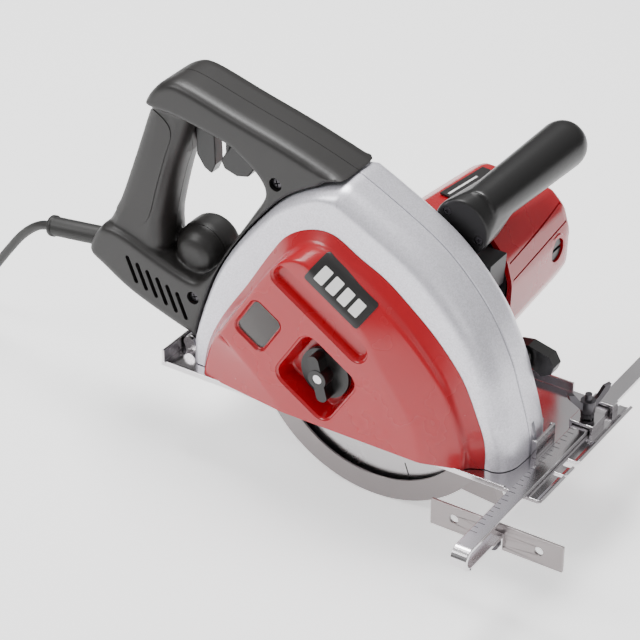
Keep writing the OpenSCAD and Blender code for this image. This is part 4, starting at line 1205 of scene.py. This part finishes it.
@dataclass
class Cover:
    """The red chip cover with its window, badge, finger groove and knob pocket."""

    rim: tuple[Point2, ...] = ((99, -40), (100, -10), (93, 12), (81, 38), (62, 61), (43, 78), (22, 94),
                               (2, 104), (-19, 115), (-38, 113), (-56, 102), (-70, 83), (-88, 54),
                               (-109, 22), (-122, -6), (-128, -40))
    mid: tuple[Point2, ...] = ((90, -40), (90, -12), (84, 8), (72, 33), (54, 55), (36, 72), (16, 87),
                               (-2, 97), (-20, 107), (-36, 106), (-51, 96), (-65, 78), (-84, 50),
                               (-106, 20), (-118, -6), (-125, -40))
    top: tuple[Point2, ...] = ((58, -40), (57, -16), (50, 4), (38, 22), (26, 38), (18, 52), (4, 66),
                               (-12, 78), (-26, 92), (-37, 96), (-48, 91), (-62, 75), (-80, 48),
                               (-98, 20), (-70, -2), (-34, -40))
    face: float = -44.0
    back: float = -26.3
    wall: float = 2.5
    tilt: float = -33.0
    badge_at: Point2 = (-4.0, 114.0)
    per: int = 5
    corners: tuple[int, ...] = (0, 15)
    top_corners: tuple[int, ...] = (0, 13, 14, 15)

    @property
    def foot(self) -> int:
        """Where the dense outlines' curve ends and their level foot begins."""
        return (len(self.rim) - 1) * self.per

    def loops(self) -> tuple[Outline, Outline, Outline]:
        """The rim, middle and top outlines, dense."""
        return (spline_loop(shifted(self.rim), self.per, self.corners),
                spline_loop(shifted(self.mid), self.per, self.corners),
                spline_loop(shifted(self.top), self.per, self.top_corners))

    def skin(self, name: str, shrink: float) -> bpy.types.Object:
        """The cover's solid form, its edges rounded ring by ring.

        Args:
            name: The object's name.
            shrink: Wall to take off, for the hollow.

        Returns:
            The solid.
        """
        rim, mid, top = self.loops()
        legs = [(self.back + (2 if shrink else 0), inset(rim, shrink)),
                (self.face + 13 + shrink * 0.3, inset(mid, shrink)),
                (self.face + 9 + shrink * 0.6, inset(mid, 2 + shrink)),
                (self.face + shrink, inset(top, -2 + shrink)),
                (self.face + shrink, inset(top, 4 + shrink))]
        rounds = (0, 2.0, 3.0, 2.6, 0)
        columns: list[list[Vector]] = []
        for i in range(len(rim)):
            p = [Vector((ring[i][0], y, ring[i][1])) for y, ring in legs]
            column = [p[0]]
            for k in (1, 2, 3):
                reach = (min(rounds[k], (p[k - 1] - p[k]).length * 0.45),
                         min(rounds[k], (p[k + 1] - p[k]).length * 0.45))
                column += rounded_corner(p[k - 1], p[k], p[k + 1], reach, 3)
            columns.append(column + [p[4]])
        return skinned(name, list(zip(*columns)))

    def flared(self, name: str, outline: Outline, depth: float, taper: float,
               flare: float = 1.6) -> bpy.types.Object:
        """A cutter for a recess in the face, whose mouth and foot are rounded.

        Args:
            name: The object's name.
            outline: The recess at its mouth.
            depth: How deep it goes.
            taper: How much narrower its foot is.
            flare: Radius of the rounded mouth.

        Returns:
            The cutter.
        """
        hair = 0.001  # keeps the cutter's rings off the face's own plane
        rings = [(self.face - 3, inset(outline, -flare))]
        for k in range(6):
            a = math.radians(90 * k / 5)
            rings.append((self.face + flare * math.sin(a) - hair, inset(outline, -flare * math.cos(a) ** 2)))
        foot = 1.8
        for k in range(5):
            a = math.radians(90 * k / 4)
            y = self.face + depth - foot + foot * math.sin(a)
            rings.append((y, inset(outline, taper + foot * (1 - math.cos(a)))))
        return loft(name, rings)

    def build(self, paint: Palette) -> None:
        """Builds the cover, window and badge.

        Args:
            paint: The finishes.
        """
        body = combine(self.skin("chip_cover_shell", 0), [self.skin("hollow", self.wall)], "DIFFERENCE")
        pocket = turned(rounded_rect(49, 49, 9), self.tilt, (-22, 41))
        groove = turned(rounded_rect(84, 15, 7), self.tilt, (-19, 93))
        window = turned(rounded_rect(27, 34, 6), self.tilt, (-68, 67))
        blocks = [prism("pocket_wall", inset(pocket, -self.wall), self.face + 1, -27.0),
                  prism("groove_wall", inset(groove, -self.wall), self.face + 1, self.face + 9),
                  prism("window_wall", inset(window, -3.5), self.face + 0.5, self.face + 5)]
        core = self.skin("core", 0.3)
        for block in blocks:
            cut = core.copy()
            cut.data = core.data.copy()
            bpy.context.scene.collection.objects.link(cut)
            body = combine(body, [combine(block, [cut], "INTERSECT")], "UNION")
        bpy.data.objects.remove(core)
        body = combine(body, [self.flared("pocket", pocket, 14.5, 3.2),
                              self.flared("groove", groove, 6.5, 1.5),
                              self.flared("window", window, 2.0, 0.2, 0.8),
                              prism("pane_hole", inset(window, 1.6), self.face - 2, self.face + 9),
                              prism("shank", circle(KNOB, 6.3), -44, -10),
                              box("below", *BELOW)], "DIFFERENCE")
        fitted(body, paint.of(RED_ABS), Body.COVER, ["chip_cover"], crease=34)
        pane = loft("cover_pane", [(self.face + y, inset(window, less))
                                   for y, less in ((1.8, 1.5), (2.0, 0.9), (2.4, 0.6), (4.0, 0.6))])
        fitted(pane, paint.of(SMOKED), Body.COVER, ["cover_window"], crease=50)
        self.badge(paint, body)

    def laid(self, name: str, shell: bpy.types.Object, centre: Point2, size: Point2, proud: float,
             radius: float) -> bpy.types.Object:
        """A thin rounded patch that follows the cover's surface.

        Args:
            name: The object's name.
            shell: The cover.
            centre: Its centre, from the badge's centre, along the badge.
            size: Its length and height.
            proud: How far it stands out of the cover.
            radius: Its corners' radius.

        Returns:
            The patch.
        """
        from_above = BVHTree.FromObject(shell, bpy.context.evaluated_depsgraph_get())
        nx, nz = 24, 14
        c, s = math.cos(math.radians(self.tilt)), math.sin(math.radians(self.tilt))
        front: list[Point3] = []
        for i in range(nx + 1):
            for j in range(nz + 1):
                u, v = (i / nx - 0.5) * size[0], (j / nz - 0.5) * size[1]
                over = max(0.0, abs(u) - size[0] / 2 + radius), max(0.0, abs(v) - size[1] / 2 + radius)
                far = math.hypot(*over)
                if far > radius:
                    u -= math.copysign(over[0] * (1 - radius / far), u)
                    v -= math.copysign(over[1] * (1 - radius / far), v)
                u, v = u + centre[0], v + centre[1]
                x, z = self.badge_at[0] + u * c - v * s, self.badge_at[1] + u * s + v * c
                hit = from_above.ray_cast(Vector((x, -60, z)) * MM, Vector((0, 1, 0)))[0]
                front.append((x, hit.y / MM if hit else self.face + 4, z))
        n = len(front)
        verts = [(x, y - proud, z) for x, y, z in front] + [(x, y + 0.4, z) for x, y, z in front]
        faces: list[Sequence[int]] = []

        def at(i: int, j: int) -> int:
            """The index of a point of the patch's grid."""
            return i * (nz + 1) + j

        for i in range(nx):
            for j in range(nz):
                quad = (at(i, j), at(i + 1, j), at(i + 1, j + 1), at(i, j + 1))
                faces += [quad, tuple(k + n for k in quad)]
        edge = ([at(i, 0) for i in range(nx)] + [at(nx, j) for j in range(nz)]
                + [at(i, nz) for i in range(nx, 0, -1)] + [at(0, j) for j in range(nz, 0, -1)])
        faces += [(edge[k], edge[(k + 1) % len(edge)], edge[(k + 1) % len(edge)] + n, edge[k] + n)
                  for k in range(len(edge))]
        return smooth(new_object(name, verts, faces), 45)

    def badge(self, paint: Palette, shell: bpy.types.Object) -> None:
        """Lays the blank badge on the cover: a dark plate with four plain pale blocks.

        Args:
            paint: The finishes.
            shell: The cover.
        """
        plate = self.laid("badge_plate", shell, (0, 0), (49, 22), 0.5, 2.0)
        fitted(plate, paint.of(PLATE_BLACK), Body.COVER, ["cover_badge"])
        for i, x in enumerate((-15.3, -5.1, 5.1, 15.3)):
            mark = self.laid(f"badge_mark_{i}", shell, (x, 0), (7.4, 10.5), 0.62, 0.8)
            fitted(mark, paint.of(PLATE_WHITE), Body.COVER)


# ------------------------------------------------------------------ rear handle


@dataclass
class RearHandle:
    """The charcoal D-handle: frame, grip, boss, vents and soft panels."""

    seam: float = SEAM
    width: float = 47.0
    grip_width: float = 38.0
    frame_out: tuple[Point2, ...] = (
        (-17, 179), (-60, 193), (-105, 205), (-146, 216), (-161, 213), (-172, 203), (-178, 192),
        (-168, 190), (-150, 189), (-112, 181), (-98, 174), (-84, 163), (-80, 151), (-92, 130),
        (-112, 99), (-122, 82), (-132, 70), (-143, 66), (-170, 74), (-200, 85), (-216, 86), (-224, 79),
        (-231, 66), (-230, 58), (-219, 51), (-195, 37), (-156, 23))
    grip: tuple[Point2, ...] = (
        (-172, 72), (-168, 100), (-158, 140), (-147, 170), (-142, 194), (-172, 198), (-179, 186),
        (-192, 150), (-207, 110), (-214, 96), (-221, 80), (-210, 72))
    panel: tuple[Point2, ...] = (
        (-186, 94), (-178, 104), (-171, 128), (-163, 154), (-157, 172), (-160, 182), (-172, 188),
        (-181, 178), (-192, 148), (-206, 112), (-211, 98), (-200, 92))
    boss: Point2 = (-147.0, 77.0)
    boss_r: float = 21.0
    screws: tuple[Point2, ...] = ((-139.5, 52.0), (-69.0, 164.0))

    def rear_line(self) -> list[Point2]:
        """The guard's rear edge, which the handle butts against, from its foot up."""
        pts = shifted(Guard().rear)[:-1]
        return [(x - 0.3, z) for x, z in reversed(pts)]

    def frame(self) -> Outline:
        """The frame's outline, dense, sharp where it meets the guard."""
        pts = self.rear_line() + list(self.frame_out)
        n = len(self.rear_line())
        return spline_loop(pts, 4, (0, n, 6 + n))

    def halves(self) -> bpy.types.Object:
        """The whole handle as one melted solid: frame, grip and boss.

        Returns:
            The solid.
        """
        f, w = self.frame(), self.width / 2
        n_guard = len(self.rear_line()) * 4
        come = [0.0 if i < n_guard - 3 else 1.0 for i in range(len(f))]
        rings = []
        for y, d in ((-w, 4.5), (-w + 1.4, 2.4), (-w + 4.0, 0.7), (-w + 8.5, 0.0), (w - 8.5, 0.0),
                     (w - 4.0, 0.7), (w - 1.4, 2.4), (w, 4.5)):
            rings.append((self.seam + y, inset(f, [d * c for c in come])))
        frame = loft("handle_form", rings)
        g = spline_loop(self.grip, 4)
        rings = []
        for k in range(13):
            a = math.radians(-90 + 15 * k)
            y = math.copysign(abs(math.sin(a)) ** 0.9, math.sin(a)) * self.grip_width / 2
            rings.append((self.seam + y, inset(g, 15.0 * (1 - abs(math.cos(a)) ** 0.62))))
        grip = loft("grip_form", rings)
        end = w - 2.5
        drum = loft("boss_form", [(self.seam + y, circle(self.boss, self.boss_r - less)) for y, less in (
            (-13, 13), (-11, 8), (-7, 4), (-2, 1.2), (3, 0), (end - 4, 0), (end - 1.2, 1.4), (end, 4))])
        return remeshed(pooled([frame, grip, drum]), 1.15, 9, 0.55)

    def build(self, paint: Palette) -> None:
        """Builds the two halves, the soft panels and the screws.

        Args:
            paint: The finishes.
        """
        form = self.halves()
        cutters = [prism("room", [(-92, 146), (-92, 189), (-108, 196), (-156, 196), (-152, 150), (-140, 138),
                                  (-126, 142)], self.seam - 7.5, self.seam + 7.5)]
        deep = 30
        for i in range(6):
            at = (-192 + i * 8.5, 58 - i * 3.2)
            slat = turned(rounded_rect(3.4, 22, 1.7, 4), 22, at)
            cutters.append(prism("vent", slat, self.seam - deep, self.seam - deep + 11))
            cutters.append(prism("vent", slat, self.seam + deep - 11, self.seam + deep))
        for at in self.screws:
            cutters.append(prism("well", circle(at, 4.9, 32), self.seam - deep, self.seam - 17.5))
        cutters.append(self.sleeve_seat())
        form = combine(form, cutters, "DIFFERENCE")
        for name, y, near, node_name in (("handle_shell_near", self.seam - 0.2, True, "handle_near"),
                                         ("handle_shell_far", self.seam + 0.2, False, "handle_far")):
            half = halved(form, name, y, near)
            fitted(half, paint.of(NYLON), Body.MACHINE, [node_name], crease=38)
        self.panels(form, paint)
        bpy.data.objects.remove(form)
        self.fasteners(paint)

    def sleeve_seat(self) -> bpy.types.Object:
        """A cutter for the round seat of the lead's bend protector.

        Returns:
            The cutter.
        """
        lead, r, n = MainsLead(), 7.35, 40
        drop = math.radians(lead.sleeve_drop)
        out = Vector((-math.cos(drop), 0, -math.sin(drop)))
        inner = Vector((lead.mouth[0], self.seam, lead.mouth[1])) - out * 20
        ring = [Vector((0, math.cos(t), 0)) * r + out.cross(Vector((0, 1, 0))) * r * math.sin(t)
                for t in [math.tau * i / n for i in range(n)]]
        return skinned("sleeve_seat", [[inner + p for p in ring], [inner + out * 60 + p for p in ring]])

    def panels(self, form: bpy.types.Object, paint: Palette) -> None:
        """Lays the soft panels over the grip's sides, a hair proud, in one piece.

        Args:
            form: The handle's melted solid.
            paint: The finishes.
        """
        copy = bpy.data.objects.new("grip_panels", form.data.copy())
        bpy.context.scene.collection.objects.link(copy)
        puff = copy.modifiers.new("puff", "DISPLACE")
        puff.strength = 0.55 * MM
        puff.mid_level = 0.0
        settle(copy)
        shape = spline_loop(self.panel, 5)
        keep = prism("keep", shape, self.seam - 30, self.seam - 4.5)
        keep = combine(keep, [prism("keep_far", shape, self.seam + 4.5, self.seam + 30)], "UNION")
        copy = combine(copy, [keep], "INTERSECT")
        fitted(copy, paint.of(SOFT_TPE), Body.MACHINE, ["grip_pads"], crease=40)

    def fasteners(self, paint: Palette) -> None:
        """Builds the cross-head screws down in their wells.

        Args:
            paint: The finishes.
        """
        heads = None
        for x, z in self.screws:
            dome = [(self.seam - 17.4, circle((x, z), 4.4)), (self.seam - 19.8, circle((x, z), 4.3)),
                    (self.seam - 20.9, circle((x, z), 3.6)), (self.seam - 21.4, circle((x, z), 2.0))][::-1]
            head = loft("handle_screw_heads", dome)
            cross = [prism("cross", turned(rounded_rect(4.6, 1.0, 0.2, 2), a, (x, z)), self.seam - 23,
                           self.seam - 19.8) for a in (20, 110)]
            head = combine(head, cross, "DIFFERENCE")
            heads = head if heads is None else combine(heads, [head], "UNION")
        fitted(heads, paint.of(BLACK_OXIDE), Body.MACHINE, ["handle_screws"], crease=30)


# ------------------------------------------------------------------ motor


@dataclass
class Motor:
    """The red motor housing with its ridges, brush caps and plate."""

    axis: Point2 = (22.29, 80.06)
    start: float = 59.0
    end: float = 160.0
    wall: float = 3.5
    root: tuple[Point2, ...] = ((22, -46), (38, -36), (46, -20), (47, 12), (42, 30), (28, 46), (-26, 53),
                                (-40, 44), (-47, 20), (-46, -24), (-36, -40), (-18, -47))
    tip: tuple[Point2, ...] = ((18, -42), (32, -34), (39, -20), (40, 6), (35, 23), (24, 34), (-29, 39),
                               (-41, 32), (-44, 10), (-42, -24), (-32, -38), (-18, -43))

    def section(self, share: float, depth: float = 0.0) -> Outline:
        """The housing's section, a share of the way along.

        Args:
            share: 0 at the gear case, 1 at the end.
            depth: How far it comes in.

        Returns:
            The outline, with rounded corners.
        """
        x, z = self.axis
        pts = inset([(x + a[0] + (b[0] - a[0]) * share, z + a[1] + (b[1] - a[1]) * share)
                     for a, b in zip(self.root, self.tip)], depth)
        out: Outline = []
        for i in range(len(pts)):
            a, b, c = Vector(pts[i - 1]), Vector(pts[i]), Vector(pts[(i + 1) % len(pts)])
            r = min(4.0, (a - b).length * 0.4, (c - b).length * 0.4)
            out += [(q.x, q.y) for q in rounded_corner(a, b, c, (r, r), 5)]
        return out

    def build(self, paint: Palette) -> None:
        """Builds the housing, with the bosses and seats for the brush caps, and the print on the plate.

        Args:
            paint: The finishes.
        """
        span = self.end - self.start
        rings = [(self.start + span * s, self.section(s, 0)) for s in (0, 0.3, 0.6, 0.88)]
        for k in range(1, 8):
            a = math.radians(90 * k / 7)
            rings.append((self.end - 9 + 9 * math.sin(a),
                          self.section(0.9 + 0.1 * math.sin(a), 8 * (1 - math.cos(a)))))
        shell = loft("motor_shell", rings)
        inner = loft("hollow", [(self.start - 1, self.section(0, self.wall)),
                                (self.end - 9, self.section(0.95, self.wall)),
                                (self.end - 4, self.section(1.0, self.wall + 6))])
        shell = combine(shell, [inner], "DIFFERENCE")
        lines = [prism("line", [(70, z - 0.6), (70, z + 0.6), (50, z + 2.0), (50, z + 0.8)], 62, 152)
                 for z in (self.axis[1] + 25.5, self.axis[1] + 13.5)]
        shell = combine(shell, lines, "DIFFERENCE")
        for sign in (1, -1):
            boss = self.pipe("boss", sign, 31, 41.5, 12.2, 134.0)
            shell = combine(shell, [boss], "UNION")
            shell = combine(shell, [self.pipe("cap_seat", sign, 30, 60, 8.9, 134.0)], "DIFFERENCE")
        vents = []
        for low, high in ((-34, -20), (12, 26)):
            for i in range(-2, 3):
                vents.append(box("vent", (self.axis[0] + i * 9 - 2, self.end - 12, self.axis[1] + low),
                                 (self.axis[0] + i * 9 + 2, self.end + 3, self.axis[1] + high)))
        shell = combine(shell, vents, "DIFFERENCE")
        fitted(shell, paint.of(RED_ABS), Body.MACHINE, ["motor_housing"], crease=34)
        self.print_marks(paint)

    def pipe(self, name: str, sign: int, x0: float, x1: float, r: float, y: float) -> bpy.types.Object:
        """A short round bar across the motor, along X.

        Args:
            name: The object's name.
            sign: 1 towards the front, -1 towards the rear.
            x0: Where it starts, from the motor's axis.
            x1: Where it ends.
            r: Its radius.
            y: Its centre along the motor.

        Returns:
            The solid.
        """
        n = 48
        ends = []
        for x, rr in ((x0, r), (x1 - 0.8, r), (x1, r - 0.8)):
            ends.append([(self.axis[0] + sign * x, y + rr * math.cos(math.tau * i / n),
                          self.axis[1] + rr * math.sin(math.tau * i / n)) for i in range(n)])
        return skinned(name, ends)

    def slope(self, y: float, k: float, lift: float) -> Vector:
        """A point over the sloping top face, where the rating plate lies.

        Args:
            y: How far along the motor.
            k: 0 at the face's front edge, 1 at its rear edge.
            lift: Height over the face.

        Returns:
            The point in millimetres.
        """
        t = (y - self.start) / (self.end - 12 - self.start)
        front = [a + (b - a) * t for a, b in zip(self.root[5], self.tip[5])]
        rear = [a + (b - a) * t for a, b in zip(self.root[6], self.tip[6])]
        x, z = (f + (r - f) * k for f, r in zip(front, rear))
        return Vector((self.axis[0] + x, y, self.axis[1] + z + lift))

    def print_marks(self, paint: Palette) -> None:
        """Lays pale blank print blocks on the rating plate.

        Args:
            paint: The finishes.
        """
        blocks = ((0.50, 0.44, 84, 90), (0.50, 0.44, 93, 99), (0.50, 0.44, 102, 110), (0.50, 0.44, 114, 120),
                  (0.50, 0.44, 124, 138), (0.86, 0.83, 84, 126), (0.76, 0.73, 84, 112))
        corners = [[self.slope(y, k, lift) for lift in (2.25, 2.42)
                    for y, k in ((y0, k0), (y0, k1), (y1, k1), (y1, k0))] for k0, k1, y0, y1 in blocks]
        marks = slabs("rating_marks", corners)
        fitted(marks, paint.of(PLATE_WHITE), Body.MACHINE)


@dataclass
class FenceScale:
    """The engraved scale on the fence bar: a tick each 5 mm, longer at each 10 mm."""

    bar_x: float = 132.5
    width: float = 12.0
    top: float = 6.4

    def build(self, paint: Palette) -> None:
        """Lays the ticks on the bar's top face, in one piece.

        Args:
            paint: The finishes.
        """
        edge = self.bar_x - self.width / 2 + 0.8
        blocks = []
        for i in range(36):
            y = -92 + 5 * i
            tip = edge + (5.0 if i % 2 == 0 else 2.8)
            blocks.append([(x, y + side, z) for z in (self.top - 0.1, self.top + 0.05)
                           for x, side in ((edge, -0.25), (tip, -0.25), (tip, 0.25), (edge, 0.25))])
        ticks = slabs("fence_scale", blocks)
        fitted(ticks, paint.of(BLACK_OXIDE), Body.FENCE)


@dataclass
class BarHandle:
    """The black front handle: a bar with a round end, on a skirted foot with a flange."""

    start: Point3 = (50.0, 34.0, 152.0)
    yaw: float = 4.5
    pitch: float = 3.0
    length: float = 122.0
    thin: float = 15.0
    thick: float = 17.5
    flange: Point2 = (43.0, 141.0)
    flange_r: float = 20.6
    screws: tuple[Point2, ...] = ((32.0, 150.5), (56.5, 135.5))

    def ring(self, along: float, radius: float, n: int = 64) -> list[Vector]:
        """A circle round the bar's axis.

        Args:
            along: Its distance from the bar's start.
            radius: Its radius.
            n: Its number of points.

        Returns:
            The circle's points.
        """
        yaw, pitch = math.radians(self.yaw), math.radians(self.pitch)
        axis = Vector((math.sin(yaw) * math.cos(pitch), math.cos(yaw) * math.cos(pitch), math.sin(pitch)))
        side = Vector((0, 0, 1)).cross(axis).normalized()
        up = axis.cross(side)
        base = Vector(self.start) + axis * along
        return [base + side * radius * math.cos(math.tau * i / n) + up * radius * math.sin(math.tau * i / n)
                for i in range(n)]

    def bar(self) -> bpy.types.Object:
        """The bar, widening to its round end.

        Returns:
            The solid.
        """
        stops = [(6.0, self.thin)]
        stops += [(6 + (self.length - 20) * k / 6, self.thin + (self.thick - self.thin) * k / 6)
                  for k in range(1, 7)]
        cap = 8.0
        for k in range(1, 9):
            a = math.radians(90 * k / 8)
            stops.append((self.length - 14 + (cap + 5.5) * math.sin(a), self.thick - cap * (1 - math.cos(a))))
        return skinned("bar_grip", [self.ring(at, r) for at, r in stops])

    def skirt(self) -> bpy.types.Object:
        """The foot: a hull from the bar's first stretch down to the flange.

        Returns:
            The solid.
        """
        points = self.ring(30, self.thin + 0.2, 48) + self.ring(8, self.thin + 0.2, 48)
        edge = ((33.0, self.flange_r - 1.2), (34.0, self.flange_r), (37.5, self.flange_r))
        points += [Vector((x, y, z)) for y, r in edge for x, z in circle(self.flange, r, 48)]
        points += [Vector((x, 53.0, z)) for x, z in circle((50, 138), 12, 24)]
        hull = bmesh.new()
        for p in points:
            hull.verts.new(p * MM)
        bmesh.ops.convex_hull(hull, input=hull.verts[:])
        loose = [v for v in hull.verts if not v.link_faces]
        bmesh.ops.delete(hull, geom=loose, context="VERTS")
        mesh = bpy.data.meshes.new("skirt")
        hull.to_mesh(mesh)
        hull.free()
        foot = bpy.data.objects.new("skirt", mesh)
        bpy.context.scene.collection.objects.link(foot)
        return foot

    def build(self, paint: Palette) -> None:
        """Builds the bar, its skirt and its screws.

        Args:
            paint: The finishes.
        """
        form = remeshed(pooled([self.bar(), self.skirt()]), 0.9, 6, 0.5)
        wells = [prism("well", circle(at, 3.1, 24), 25, 34.2) for at in self.screws]
        form = combine(form, wells, "DIFFERENCE")
        fitted(form, paint.of(BLACK_NYLON), Body.MACHINE, ["bar_handle", "bar_foot"],
               crease=40)
        heads, head = (prism("bar_screw_heads", circle(at, 2.7, 24), 33.3, 35.0) for at in self.screws)
        heads = combine(heads, [head], "UNION")
        slots = [prism("slot", turned(rounded_rect(3.4, 0.8, 0.2, 2), a, at), 32.5, 34.0)
                 for at in self.screws for a in (15, 105)]
        heads = combine(heads, slots, "DIFFERENCE")
        fitted(heads, paint.of(BLACK_OXIDE), Body.MACHINE, ["bar_screws"], crease=30)


# ------------------------------------------------------------------ carried-over CAD nodes


@dataclass
class FrameParts:
    """CAD nodes whose shape stays: they get rounded edges and real finishes."""

    finishes: dict[str, Finish] = field(default_factory=lambda: {
        "gear_case": CAST_ALU, "bearing_plate": CAST_ALU, "stator": LAMINATE, "brush_gear": COPPER,
        "brush_caps": BLACK_NYLON, "switch_block": BLACK_NYLON, "rating_plate": PLATE_BLACK,
        "guard_spring": BLACK_OXIDE, "cord_sleeve": RUBBER_LEAD, "plug_body": RUBBER_LEAD,
        "plug_pins": PLATED, "lower_guard": SATIN_STEEL, "spindle": PLATED, "blade": BLADE_STEEL,
        "inner_flange": BLACK_OXIDE, "outer_flange": BLACK_OXIDE, "blade_bolt": BLACK_OXIDE,
        "output_gear": BLACK_OXIDE, "bearings": PLATED, "mid_shaft": PLATED, "mid_gear": BLACK_OXIDE,
        "armature": LAMINATE, "commutator": COPPER, "fan": BLACK_NYLON, "cover_knob": BLACK_NYLON,
        "knob_screw": PLATED, "trigger": BLACK_NYLON, "lock_off": BLACK_NYLON, "base_plate": PLATED,
        "pivot_pin": PLATED, "front_bracket": PLATED, "depth_arm": PLATED, "bar_bridges": PLATED,
        "bridge_spring": BLACK_OXIDE, "depth_bolt": BLACK_OXIDE, "depth_lever": BLACK_NYLON,
        "fence_bar": PLATED, "fence_plate": SATIN_STEEL, "fence_screw": BLACK_OXIDE,
        "wing_screw": BLACK_OXIDE})
    rounding: dict[str, float] = field(default_factory=lambda: {
        "trigger": 1.3, "lock_off": 1.0, "cover_knob": 0.8, "depth_lever": 1.6,
        "base_plate": 0.5, "fence_bar": 0.6, "fence_plate": 0.4, "bar_bridges": 0.5, "wing_screw": 0.6,
        "front_bracket": 0.4, "depth_arm": 0.4, "lower_guard": 0.35, "gear_case": 1.0,
        "bearing_plate": 0.6, "brush_caps": 0.5, "plug_body": 0.6, "blade_bolt": 0.4,
        "cord_sleeve": 0.5})

    def dress(self, paint: Palette, frame: dict[str, Any]) -> None:
        """Dresses every CAD node that is still shown.

        Args:
            paint: The finishes.
            frame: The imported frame.
        """
        for name, finish in self.finishes.items():
            obj = frame["nodes"][name]
            dress(obj, paint.of(finish))
            self.soften(obj, self.rounding.get(name, 0.0))
            LOG.info("node %s in %s", name, finish.name)

    @staticmethod
    def soften(obj: bpy.types.Object, width_mm: float) -> None:
        """Welds a CAD node's facets and rounds its sharp edges with modifiers, its mesh untouched.

        Args:
            obj: The CAD node.
            width_mm: Width of the rounding, or 0 for none.
        """
        weld = obj.modifiers.new("weld", "WELD")
        weld.merge_threshold = 0.00001
        if width_mm:
            mod = obj.modifiers.new("edge_round", "BEVEL")
            mod.width = width_mm * MM
            mod.segments = 2
            mod.limit_method = "ANGLE"
            mod.angle_limit = math.radians(34)
            mod.use_clamp_overlap = True
            mod.harden_normals = True


@dataclass
class Saw:
    """The whole machine, built in order."""

    paint: Palette = field(default_factory=Palette)

    def build(self) -> None:
        """Loads the frame and builds each sub-assembly and the studio."""
        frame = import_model()
        studio = Studio()
        studio.camera()
        MainsLead().build(self.paint, frame)
        Guard().build(self.paint)
        Cover().build(self.paint)
        RearHandle().build(self.paint)
        Motor().build(self.paint)
        BarHandle().build(self.paint)
        FenceScale().build(self.paint)
        FrameParts().dress(self.paint, frame)
        studio.build()
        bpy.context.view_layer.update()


def main() -> None:
    """Builds the saw and logs each piece."""
    logging.basicConfig(level=logging.INFO, format="%(message)s")
    Saw().build()


if __name__ == "__main__":
    main()
